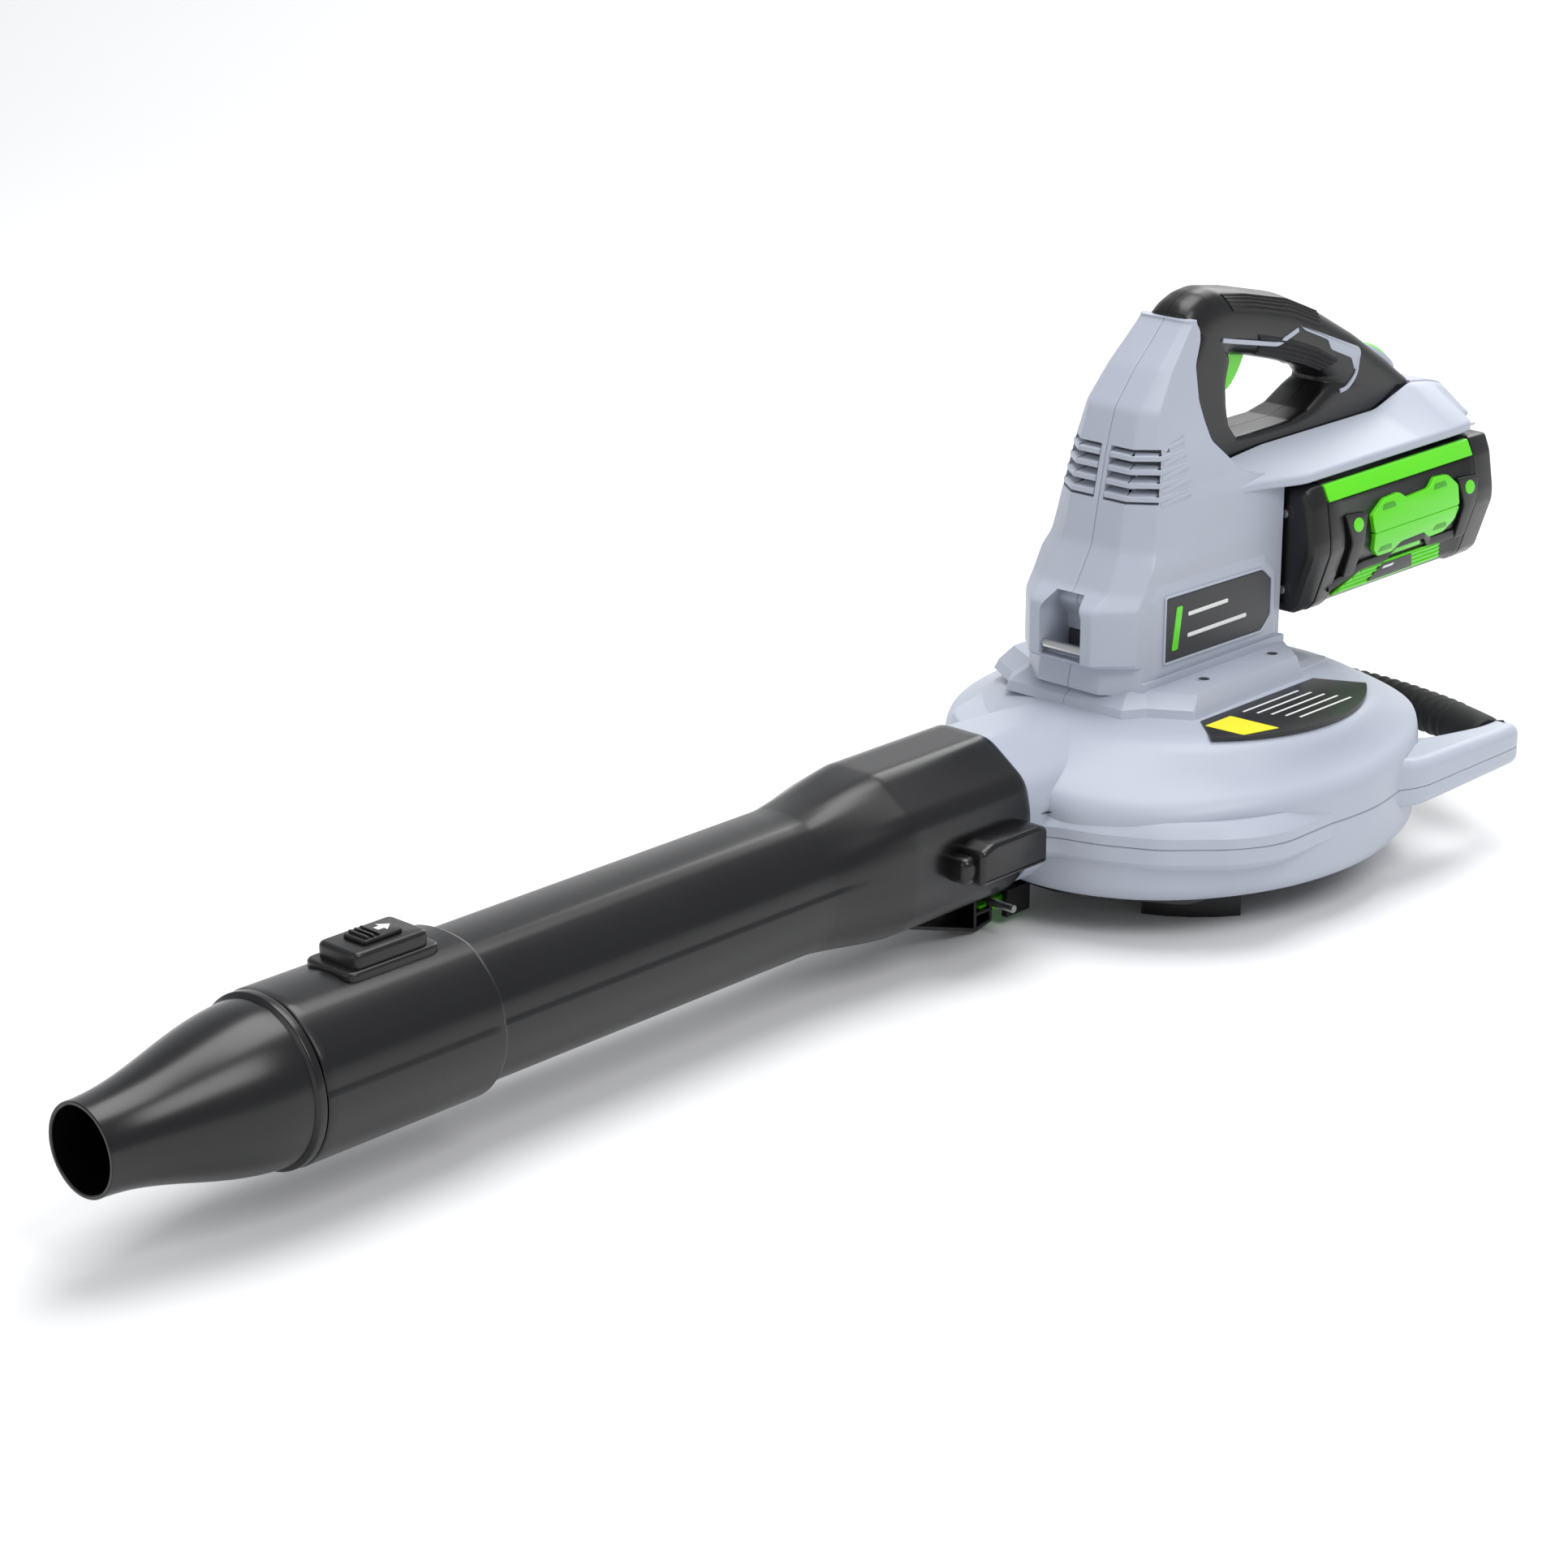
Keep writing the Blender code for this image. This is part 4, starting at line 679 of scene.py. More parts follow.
@dataclass
class Tower:
    """Grey housing: the tower with its vents and strap recess, the collar under it, beam and nose."""

    vent_low: float = 247.5
    vent_high: float = 280.5
    vent_v: float = 3.6
    recess_v: float = 16.5
    recess_low: float = 150.5
    recess_high: float = 191.5
    foot_z: float = 130.0
    block_z: float = 148.4
    top_z: float = 352.6

    def knots(self) -> Array:
        """Rows of z, front x, edge v, chamfer depth, side v, vent x, rear x and rear v."""
        rows = np.array([
            (130.0, 86.0, 24.5, 16, 45, 16, -76, 45), (148.4, 82.0, 24.5, 14, 45, 16, -76, 45),
            (148.5, 94.6, 24.5, 20.5, 45, 16, -76, 45), (184.6, 94.6, 24.5, 20.5, 45, 16, -76, 45),
            (194.6, 80.6, 26.5, 13, 45, 16, -76, 45), (196.2, 79.6, 26.5, 12.5, 44.6, 16, -76, 45),
            (209.5, 71.4, 24.6, 12.2, 45, 16, -76, 45), (219.0, 65.6, 23.5, 12, 41.8, 16, -76, 45),
            (232.0, 63.0, 22, 12, 40, 16, -76, 45), (244.6, 60.4, 21.8, 12, 38.6, 16, -76, 45),
            (252.6, 58.7, 21.6, 12, 37.4, 16, -39, 40), (277.0, 53.6, 21.2, 12, 34.5, 16, -12, 33.5),
            (290.0, 50.0, 20.5, 10.5, 31.5, 16, -9, 29.5), (303.0, 46.0, 20, 9, 29, 15, -5.8, 27),
            (325.2, 26.8, 18.5, 6, 25, 8, -5.2, 24), (339.0, 11.6, 17.3, 4.4, 22.6, 0, -11.8, 22),
            (346.0, 4.3, 16.6, 3.6, 21.4, -6, -12.4, 21), (352.6, -2.6, 16, 3, 20.6, -6.6, -7.4, 20.6)])
        return rounded(rows, 3.0, 5, closed=False)

    def levels(self) -> Array:
        """Heights of the grid's rows, doubled at the edges of vents and recess."""
        steps = np.arange(self.foot_z, self.top_z, 1.7)
        starts = np.array([self.vent_low, self.vent_high, self.recess_low, self.recess_high])
        lines = np.concatenate([[self.block_z, self.block_z + 0.1], starts, starts + 0.5, [self.top_z]])
        near = np.abs(steps[:, None] - lines[None]).min(axis=1) > 0.3
        return np.sort(np.concatenate([steps[near], lines]))

    def recess_edge(self, z: Array) -> Array:
        """Half width of the strap recess. It narrows towards its top."""
        return np.interp(z, [180.0, self.recess_high], [self.recess_v, 11.0])

    def sections(self, z: Array) -> Array:
        """Half sections at heights z, as rows of (x, v): front face, chamfer, side panel and rear.

        The corners are rounded by a few millimetres. Their count is the same at each height.
        """
        knots = self.knots()
        front, edge, depth, side, vent_x, rear, rear_v = (np.interp(z, knots[:, 0], knots[:, i])
                                                          for i in range(1, 8))
        corner_x = front - depth
        share = (corner_x - vent_x) / np.maximum(corner_x - rear, 1e-6)
        share_b = (corner_x - vent_x + 0.6) / np.maximum(corner_x - rear, 1e-6)
        columns = [
            (front - 0.5, np.full_like(z, SEAM)), (front, np.full_like(z, 0.9)),
            (front, np.full_like(z, self.vent_v)), (front, np.full_like(z, self.vent_v + 0.6)),
            (front, self.recess_edge(z) - 0.6), (front, self.recess_edge(z)),
            (front, edge), (corner_x, side),
            (vent_x, side + (rear_v - side) * share), (vent_x - 0.6, side + (rear_v - side) * share_b),
            (rear, rear_v), (rear, np.full_like(z, SEAM))]
        corners = np.stack([np.stack(column, axis=-1) for column in columns], axis=1)
        radius = np.array([0.01, 0.5, 0.01, 0.01, 0.01, 0.01, 1.5, 1.5, 0.01, 0.01, 1.5, 0.01])
        return rounded(corners, radius, 4)

    def shell(self) -> Surface:
        """The left half: sections stacked over z, with vents and strap recess pushed in along x and v."""
        z = self.levels()
        plan = self.sections(z)
        rows, columns = plan.shape[:2]
        column = np.arange(columns)
        inside = np.stack([-np.ones(columns), np.zeros(columns)], axis=1)
        chamfer = (column >= 26) & (column < 32)
        inside[chamfer] = (-0.8, -0.6)
        inside[column >= 32] = (0.0, -1.0)
        vent_rows = (z > self.vent_low + 0.3) & (z < self.vent_high + 0.2)
        vent_columns = (column >= 12) & (column < 36)
        depth = np.where(column < 30, 9.0, 0.0)
        push = vent_rows[:, None] * (vent_columns * depth)[None]
        recess_rows = (z > self.recess_low + 0.3) & (z < self.recess_high + 0.2)
        deep = np.interp(z, [self.recess_low, 172.0, self.recess_high], [30.0, 27.0, 9.0])[:, None]
        push = push + recess_rows[:, None] * (column < 20)[None] * deep
        moved = plan + push[..., None] * inside[None]
        points = np.concatenate([moved, np.broadcast_to(z[:, None, None], (rows, columns, 1))], axis=-1)
        return grid(points)

    def slats(self) -> list[Surface]:
        """Louvres across each vent: a slanting bar carried along the tower's own section."""
        made = []
        pitch = (self.vent_high - self.vent_low) / 4
        section = np.array([(-8.5, 0.8), (0.0, -1.9), (0.5, -1.6), (0.5, 1.2), (0.0, 1.5), (-8.5, 3.8)])
        for i in range(4):
            z = np.array([self.vent_low + pitch * (i + 0.42)])
            line = self.sections(z)[0]
            path = np.column_stack([line[12:33], np.full(21, z[0])])
            made.append(sweep(path, section, (0.0, 0.0, 1.0)))
        return made

    def side_marks(self) -> list[Surface]:
        """Shallow raised lines that carry the louvres on over the side panel."""
        made = []
        pitch = (self.vent_high - self.vent_low) / 4
        for i in range(5):
            low = self.vent_low + pitch * i - 0.8
            z = np.array([low + 0.8])
            line = self.sections(z)[0]
            start, end = line[31], line[35]
            path = np.linspace((start[0] - 1, start[1] - 0.1, low), (end[0], end[1] - 0.1, low + 3.5), 6)
            made.append(sweep(path, rounded_box(0.55, 1.5, 0.4), (0.0, 0.0, 1.0)))
        return made

    def collar(self) -> list[Surface]:
        """Stepped foot between tower and casing: sloped sides under a flat top."""
        low = np.array([(90, SEAM), (90, 47), (76, 56), (60, 82), (-56, 80), (-84, 52), (-84, SEAM)])
        middle = np.array([(88.5, SEAM), (88.5, 46), (74.5, 54.5), (58.5, 80), (-57, 78), (-82, 50),
                           (-82, SEAM)])
        top = np.array([(76, SEAM), (76, 40), (66, 46), (50, 75), (-58, 73), (-79, 47), (-79, SEAM)])
        radius = np.array([0.1, 1.2, 1.2, 1.2, 1.2, 1.2, 0.1])
        middle, top = rounded(middle, radius, 5), rounded(top, radius, 5)
        points = layers([(rounded(low, radius, 5), 119.0), (middle, 123.5), (middle * 0.993 + 0.1, 125.0),
                         (top, 132.2), (top * 0.992 + 0.1, 133.0)], Axis.Z)
        points[..., 1] = np.maximum(points[..., 1], SEAM)
        plinth = np.array([(82, SEAM), (82, 28), (67, 47), (-78, 48), (-78, SEAM)])
        return [grid(points), pillow(rounded(plinth, radius[:5], 5), 130.0, 138.0, 1.0, Axis.Z)]

    def beam(self) -> Surface:
        """Roof over the battery that rises into the rear nose: a flat edge under one long slope.

        Rows of x, half width, outer edge's height, inner edge's reach and height, and inner floor's height.
        """
        rows = rounded([
            (-14, 40, 243, 24, 250, 246), (-46, 45.5, 244.6, 22, 257, 246),
            (-80, 58.5, 244.6, 21.4, 259.5, 246), (-206, 58.5, 244.6, 21.4, 259.5, 246),
            (-246, 58.5, 244.8, 20.8, 271, 262), (-262, 58.3, 245, 20, 268.6, 269.8),
            (-270, 57, 245, 20, 267.4, 268.4), (-284, 38, 246, 19.5, 263.8, 264.6),
            (-299, 34, 243, 18, 253.6, 254), (-305.4, 31, 241, 17, 245, 245.4)], 5.0, 5, closed=False)
        x, half, edge, reach, top, floor = rows.T
        low = np.full_like(x, 239.4)
        seam = np.full_like(x, SEAM)
        behind = np.where(x < -247.0, top + 1.0, floor)
        corners = [(seam, low), (half - 1, low), (half, low + 1.2), (half, edge), (half - 1.6, edge + 1.4),
                   (reach + 4, top - 1.6), (reach, top), (reach - 0.2, behind), (seam, behind)]
        section = rounded(np.stack([np.stack(c, axis=-1) for c in corners], axis=1),
                          np.array([0.1, 1, 1, 1, 1.4, 3, 0.4, 0.4, 0.1]), 4)
        points = np.empty((len(x), section.shape[1], 3))
        points[..., 0] = x[:, None]
        points[..., 1:] = section
        return grid(points)

    def build(self) -> None:
        """Makes both housing halves with their details."""
        half = [self.shell()] + self.collar() + [self.beam(), self.badge_frame()]
        piece("left housing", half, GREY_ABS, "housing", ("left_housing_shell",))
        piece("right housing", [s.mirrored() for s in half], GREY_ABS, "housing", ("right_housing_shell",))
        piece("vent louvres", both_sides(self.slats() + self.side_marks()), GREY_ABS, "housing")
        rims = [revolve(np.array([(3.5, 132.9), (5.0, 132.9), (4.8, 133.5), (3.7, 133.5)]),
                        (x, 59.0, 0.0), Axis.Z, 32) for x in (22.0, -50.0)]
        piece("screw well rims", both_sides(rims), GREY_ABS, "housing")
        plugs = [pillow(ellipse(3.5, 3.5) + np.array([x, 59.0]), 131.0, 133.25, 0.0, Axis.Z)
                 for x in (22.0, -50.0)]
        piece("screw wells", both_sides(plugs), BLACK_NYLON, "housing",
              tuple(f"housing_screw_{i}" for i in (1, 2, 3, 4)))
        self.inner_faces()

    def badge_frame(self) -> Surface:
        """Raised bed of the badge, with a broad bevel all round."""
        corners = np.array([(60, 136), (63, 190), (56, 198), (-56, 196), (-70, 184), (-72, 136)], float)
        edges = [(rounded(inset(corners, shrink), 1.5, 4), v)
                 for shrink, v in ((0.0, 40.0), (0.0, 44.8), (5.0, 47.4), (5.6, 47.5))]
        return grid(layers(edges, Axis.V))

    def inner_faces(self) -> None:
        """Chambers behind the vents and the strap recess, painted dark as their shade."""
        vent = np.array([(44, 5.0), (49, 5.0), (49, 18), (38, 34), (33, 34)])
        chamber = pillow(vent, self.vent_low + 0.8, self.vent_high, 0.0, Axis.Z)
        recess = np.array([(64.8, 0.3), (66.2, 0.3), (66.2, 15.4), (64.8, 15.4)])
        back = pillow(recess, self.recess_low + 1, 172.0, 0.0, Axis.Z)
        # painted shade: dark ABS plates stand for the shadow inside the vents and the strap recess
        piece("vent chambers", both_sides([chamber]), PAINTED_SHADE_ABS, "housing")
        piece("strap recess back", both_sides([back]), PAINTED_SHADE_ABS, "housing")


# ---------------------------------------------------------------- Handle

@dataclass
class Handle:
    """Black handle loop with rubber panels, grey inlay, trigger and release button."""

    half: float = 20.0
    pairs: tuple[tuple[float, float, float, float, float], ...] = (
        (-36, 367, -64, 318.6, 2.7), (-64, 362.5, -82, 315, 2.7), (-109, 352, -112, 307, 2.7),
        (-146, 337, -136, 299.6, 2.7), (-193, 312, -151, 293.5, 2.9), (-232, 287.5, -156, 288.5, 3.2),
        (-262, 266.5, -156, 285.5, 4), (-243, 270.6, -150, 280, 7), (-205, 245.2, -134, 271.6, 9),
        (-150, 245.2, -116, 268, 9), (-78, 245.2, -76, 268, 9), (-39, 253.2, -57, 268.4, 9),
        (-12.4, 277.4, -49, 277.6, 9), (-9.4, 290, -46, 290, 9), (-5.2, 325, -44.4, 304, 9),
        (-11, 335.4, -46, 311, 8), (-14.4, 346, -49, 317, 6), (-3.0, 353.4, -52, 319.4, 3.4),
        (-10, 360.5, -55, 320.2, 2.9), (-22, 365.6, -59, 319.8, 2.7))

    def loop(self) -> Array:
        """Rounded rows of outer x and z, inner x and z, and the section's squareness around the loop."""
        return rounded(np.array(self.pairs, float), 4.0, 7)

    def frame(self, rows: Array, turn: Array, grow: float = 0.0) -> Array:
        """Places on the loop: between outer and inner by a superellipse, |cos|^(2/p) across the loop and
        |sin|^(2/p) sideways.

        Args:
            rows: outer and inner outlines with p (n, 5). A p of 2 gives an ellipse, and a large one a box.
            turn: angles around the section, 0 at the outer side.
            grow: millimetres that the section is grown by.

        Returns:
            Points (n, angles, 3).
        """
        share = 2 / rows[:, 4:5]
        across = np.sign(np.cos(turn)) * np.abs(np.cos(turn)) ** share
        sideways = np.abs(np.sin(turn)) ** share
        middle = (rows[:, :2] + rows[:, 2:4]) / 2
        reach = (rows[:, :2] - rows[:, 2:4]) / 2
        length = np.linalg.norm(reach, axis=1, keepdims=True)
        reach = reach * (1 + grow / np.maximum(length, 1e-6))
        spot = middle[:, None] + reach[:, None] * across[..., None]
        v = (self.half + grow) * sideways
        return np.stack([spot[..., 0], v, spot[..., 1]], axis=-1)

    def half_loop(self) -> Surface:
        """The left half: the section from the outer parting line to the inner one."""
        turn = np.linspace(0.0, math.pi, 41)
        points = self.frame(self.loop(), turn)
        points[..., 1] = np.maximum(points[..., 1], SEAM)
        points[:, 0, 1] = SEAM
        points[:, -1, 1] = SEAM
        return grid(points, around=True, loop=True)

    def patch(self, first: int, last: int, start: float, end: float, ribs: int) -> Surface:
        """A rubber panel on the loop, with rounded ribs along the grip."""
        rows = self.loop()[first:last]
        turn = np.linspace(start, end, 8 * ribs + 1)
        wave = 0.5 + 0.5 * np.cos(np.linspace(0.0, 2 * math.pi * ribs, len(turn)) + math.pi)
        outer = self.frame(rows, turn, 0.5)
        bump = self.frame(rows, turn, 1.7)
        inner = self.frame(rows, turn, -1.5)
        lifted = outer + (bump - outer) * wave[None, :, None]
        lifted[0], lifted[-1] = outer[0], outer[-1]
        ring = np.concatenate([lifted, inner[:, ::-1]], axis=1)
        return grid(ring)

    def inlay(self) -> list[Surface]:
        """Light grey accent line that wraps the rear of the grip."""
        thin = np.array([(-32.7, 335.6), (-50, 331.8), (-96, 322.2), (-104.5, 324.6), (-121, 329.3)])
        tail = np.array([(-187, 302), (-184.6, 287), (-176, 279.6), (-163, 278.2)])
        broad = np.array([(-119.5, 330.8), (-186.6, 305.2), (-189.3, 301), (-186, 290.5), (-182.5, 290.5),
                          (-178.5, 299.2), (-155, 308.8), (-151, 316), (-125.5, 326.4)])
        made = []
        for line, wide in ((thin, 1.5), (tail, 1.3)):
            path = rounded(line, 4.0, 5, closed=False)
            spots = np.column_stack([path[:, 0], np.full(len(path), self.half - 0.1), path[:, 1]])
            made.append(sweep(spots, rounded_box(wide, 1.0, 0.4), (0.0, 1.0, 0.0)))
        made.append(pillow(rounded(broad, 2.0, 4), self.half - 2.5, self.half + 0.5, 0.4))
        return made

    def trigger(self) -> Surface:
        """Trigger lever with a hollow finger face."""
        outline = np.array([(-41, 333), (-40.5, 322), (-46.5, 307), (-53, 297.5), (-60, 295), (-67, 298.5),
                            (-74.5, 307), (-80, 316.5), (-81, 326), (-60, 333)], float)
        return pillow(rounded(outline, 4.0, 5), -6.0, 6.0, 1.6, Axis.V, foot=1.6)

    def build(self) -> None:
        """Makes the loop, its panels, inlay and controls."""
        half = self.half_loop()
        piece("left handle frame", [half], BLACK_NYLON, "housing", ("left_handle_frame",))
        piece("right handle frame", [half.mirrored()], BLACK_NYLON, "housing", ("right_handle_frame",))
        upper = self.patch(6, 24, 0.62, 1.30, 5)
        lower = self.patch(9, 30, 1.75, 2.62, 5)
        piece("left grip panels", [upper, lower], GRIP_RUBBER, "housing", ("left_grip_pad",))
        piece("right grip panels", [upper.mirrored(), lower.mirrored()], GRIP_RUBBER, "housing",
              ("right_grip_pad",))
        piece("grip inlay", both_sides(self.inlay()), GREY_ABS, "housing")
        piece("trigger", [self.trigger()], LIME_PC, "trigger_lever", ("trigger",))
        piece("release button surround", [self.ring()], GREY_ABS, "housing")
        piece("battery release button", [self.button(15.5, 9.8, -4.5, 6.4, 4.4)] + self.button_ribs(),
              LIME_PC, "release_key", ("release_button",))

    def button_frame(self, points: Array) -> Array:
        """Turns (a, b, height) into places on the sloping rear of the handle."""
        tilt = math.radians(36)
        a, b, h = points[..., 0], points[..., 1], points[..., 2]
        x = -231.5 + a * math.cos(tilt) - h * math.sin(tilt)
        z = 286.0 + a * math.sin(tilt) + h * math.cos(tilt)
        return np.stack([x, b, z], axis=-1)

    def button(self, half_a: float, half_b: float, low: float, high: float, edge: float) -> Surface:
        """Oval button, square to the sloping rear of the handle."""
        made = pillow(ellipse(half_a, half_b, 48), low, high, edge, Axis.Z, steps=8)
        return Surface(self.button_frame(made.points), made.faces)

    def button_ribs(self) -> list[Surface]:
        """Three finger ribs on the button."""
        made = []
        for a in (-3.5, 0.0, 3.5):
            rib = box((a - 0.7, -4.8, 5.4), (a + 0.7, 4.8, 7.0), 0.4)
            made.append(Surface(self.button_frame(rib.points), rib.faces))
        return made

    def ring(self) -> Surface:
        """Raised surround of the button."""
        outer, inner = ellipse(20.5, 13.6, 48), ellipse(16.3, 10.5, 48)
        rows = [(outer, -7.0), (outer * 0.99, 1.2), (outer * 0.94, 2.8), (inner * 1.06, 2.7), (inner, 2.0),
                (inner, -7.0)]
        return grid(self.button_frame(layers(rows, Axis.Z)), loop=True)


# ---------------------------------------------------------------- Badge and label

@dataclass
class Marks:
    """Nameplates and the rating label, with plain generic marks. Each ink mark is a thin raised solid."""

    back_v: float = 46.6
    face_v: float = 48.6
    ink_v: float = 48.4
    film_z: float = 120.6
    film_radius: float = 112.0

    def badge(self) -> list[Surface]:
        """Dark plate with a raised border."""
        plate = rounded([(49, 148), (49, 189), (-50, 187), (-59.5, 179), (-59.5, 155), (-51, 147)], 2.0, 4)
        return [pillow(plate, self.back_v, self.face_v, 0.4)]

    def border(self) -> Surface:
        """Light rim round the badge."""
        outer = rounded([(51, 146), (51, 191), (-50.5, 189), (-61.5, 180), (-61.5, 154), (-51.5, 145)],
                        2.5, 4)
        inner = inset(outer, 1.6)
        edges = [(outer, self.back_v), (outer, self.face_v), (inset(outer, 0.5), 49.2),
                 (inset(outer, 1.1), 49.2), (inner, 48.7), (inner, self.back_v)]
        return grid(layers(edges, Axis.V), loop=True)

    def bars(self) -> list[Surface]:
        """One plain slanted stripe at the badge's front end."""
        corners = np.array([(43, 154), (39, 182), (33, 182), (37, 154)], float)
        return [pillow(rounded(corners, 1.5, 5), self.ink_v, 49.1, 0.3)]

    def lines(self) -> list[Surface]:
        """Two plain light lines along the badge."""
        made = []
        for z, reach in ((161.0, -34.0), (175.0, -14.0)):
            corners = np.array([(27, z - 1.3), (27, z + 1.3), (reach, z + 1.3), (reach, z - 1.3)], float)
            made.append(pillow(rounded(corners, 1.0, 4), self.ink_v, 49.0, 0.2))
        return made

    def label(self) -> Surface:
        """Film on the dome: a segment of a circle with cut corners."""
        arc = np.radians(np.linspace(44.0, 131.0, 40))
        rim = self.film_radius * np.column_stack([np.cos(arc), np.sin(arc)])
        corners = np.concatenate([[(60.0, 54.0)], rim, [(-58.0, 54.0)]])
        return pillow(corners + np.array([0.0, DATUM.fan_v]), 118.6, 120.95, 0.2, Axis.Z)

    def build(self) -> None:
        """Makes the plates, their marks and the label."""
        for tag, turn in (("left", False), ("right", True)):
            plate = [s.mirrored() if turn else s for s in self.badge()]
            piece(f"{tag} badge", plate, BADGE_ABS, "housing", (f"{tag}_nameplate",))
        piece("badge rims", both_sides([self.border()]), GREY_ABS, "housing")
        piece("badge stripes", both_sides(self.bars()), LIME_PC, "housing")
        piece("badge lines", both_sides(self.lines()), LABEL_WHITE, "housing")
        piece("rating label", [self.label()], LABEL_FILM, "housing", ("rating_label",))
        fan_v = DATUM.fan_v
        patch = rounded([(66, 62), (64, 90), (38, 98), (40, 62)], 1.0, 3) + np.array([0, fan_v])
        piece("label yellow patch", [pillow(patch, self.film_z, 121.15, 0.0, Axis.Z)], LABEL_YELLOW,
              "housing")
        stripes = []
        for i in range(5):
            row = np.array([(28 - 4 * i, 62 + 8 * i), (-30 - 3 * i, 62 + 8 * i), (-30 - 3 * i, 63.6 + 8 * i),
                            (28 - 4 * i, 63.6 + 8 * i)], float)
            stripes.append(pillow(row + np.array([0, fan_v]), self.film_z, 121.1, 0.0, Axis.Z))
        piece("label lines", stripes, LABEL_WHITE, "housing")


# ---------------------------------------------------------------- Battery

@dataclass
class Battery:
    """Slide-in pack: case between two caps, with clips, strips, louvred panel and label."""

    front: float = -79.0
    rear: float = -296.0
    cap: float = 17.0
    rear_cap: float = 34.0
    low: float = 151.0
    top: float = 236.0
    ridge: float = 196.0
    half: float = 68.0

    def section(self, grow: float = 0.0, full: bool = False) -> Array:
        """Rounded (v, z) outline across the pack."""
        half = [(59.5 if full else 57.0, self.top), (64.0, self.top - 11), (self.half, self.ridge + 4),
                (self.half, self.ridge - 4), (56.5, self.low + 6), (50.0, self.low)]
        if not full:
            half.insert(1, (57.0, self.top - 9.5))
        outline = np.array(half + [(-v, z) for v, z in reversed(half)])
        return rounded(inset(outline, -grow) if grow else outline, 2.6, 5)

    def side(self, z: Array) -> Array:
        """Reach v of the pack's flank at heights z."""
        return np.interp(z, [self.low, self.low + 6, self.ridge - 4, self.ridge + 4, self.top - 11, self.top],
                         [50.0, 56.5, self.half, self.half, 64.0, 59.0])

    def rings(self, rows: list[tuple[float, float]], full: bool) -> Surface:
        """The section at (x, grow) rows."""
        return grid(layers([(self.section(grow, full), x) for x, grow in rows], Axis.X))

    def draped(self, outline: Array, low: float, high: float, edge: float = 0.5) -> Surface:
        """A plate on the flank: v = side(z) + height."""
        made = pillow(outline, low, high, edge)
        points = made.points.copy()
        points[:, 1] += self.side(points[:, 2])
        return Surface(points, made.faces)

    def clip(self) -> list[Surface]:
        """Lime clip in two faces that meet on the pack's ridge."""
        ridge = self.ridge
        upper = np.array([(-143, ridge), (-240, ridge), (-240, 210), (-229, 218.5), (-214, 219.5),
                          (-207, 213.5), (-181, 212.5), (-173, 217.5), (-156, 216.5), (-141, 208)], float)
        lower = np.array([(-143, ridge - 0.2), (-146, 184), (-154, 177.5), (-170, 177.5), (-178, 183),
                          (-204, 184), (-212, 178.5), (-229, 179), (-238, 186), (-240, ridge - 0.2)], float)
        return [self.draped(rounded(part, 2.0, 4), -1.0, 2.4) for part in (upper, lower)]

    def clip_slots(self) -> list[Surface]:
        """Four slots in the clip, drawn as thin plates painted darker green as their shade."""
        made = []
        for x, z in ((-160, 211.5), (-219, 213.5), (-160, 182.5), (-222, 184.5)):
            outline = rounded([(x - 8, z - 1.8), (x + 8, z - 1.8), (x + 6, z + 2), (x - 6, z + 2)], 1.2, 4)
            made.append(self.draped(outline, 1.0, 2.6, 0.1))
        return made

    def bosses(self) -> list[Surface]:
        """Triangular bosses either side of the clip."""
        made = []
        for x in (-124.0, -252.0):
            corners = np.array([(x - 12, 212), (x + 12, 214), (x + 7, 196), (x + 6, 170), (x - 6, 170),
                                (x - 7, 196)], float)
            made.append(self.draped(rounded(corners, 2.5, 5), -1.0, 3.0, 1.2))
        return made

    def boss_inserts(self) -> list[Surface]:
        """Round lime inserts in the bosses."""
        return [self.draped(ellipse(5.4, 4.6, 28) + np.array([x, 206.0]), 1.0, 3.5, 0.5)
                for x in (-124.0, -252.0)]

    def waist(self) -> Surface:
        """Raised band under the clip."""
        line = np.array([(-104, 164), (-140, 174), (-166, 174), (-172, 181.5), (-208, 182), (-216, 174),
                         (-262, 174)])
        path = rounded(line, 3.0, 5, closed=False)
        spots = np.column_stack([path[:, 0], self.side(path[:, 1]) + 0.3, path[:, 1]])
        return sweep(spots, rounded_box(3.0, 1.3, 0.8), (0.0, 1.0, 0.0))

    def panel(self) -> list[Surface]:
        """Lime panel on the lower flank, with louvres."""
        outline = rounded([(-114, 157.4), (-238, 157.4), (-230, 171.0), (-142, 171.0)], 1.2, 4)
        made = [self.draped(outline, -1.0, 0.9, 0.3)]
        bar = rounded([(-172, 174.6), (-206, 174.6), (-204, 178.2), (-176, 178.2)], 1.0, 4)
        made.append(self.draped(bar, -1.0, 1.2, 0.3))
        for i in range(4):
            z = 159.6 + 3.2 * i
            path = np.array([(-120.0 - 7 * i, z), (-236.0 + 1.5 * i, z)])
            spots = np.column_stack([path[:, 0], self.side(path[:, 1]) + 1.0, path[:, 1]])
            made.append(sweep(np.linspace(spots[0], spots[1], 6), rounded_box(0.6, 0.7, 0.3),
                              (0.0, 1.0, 0.0)))
        return made

    def build(self) -> None:
        """Makes the pack: its case and caps, then what lies on its flanks."""
        case_front, case_rear = self.front - self.cap - 0.3, self.rear + self.rear_cap + 0.3
        self.shells(case_front, case_rear)
        self.flanks(case_front - 1, case_rear + 1)
        self.marks()

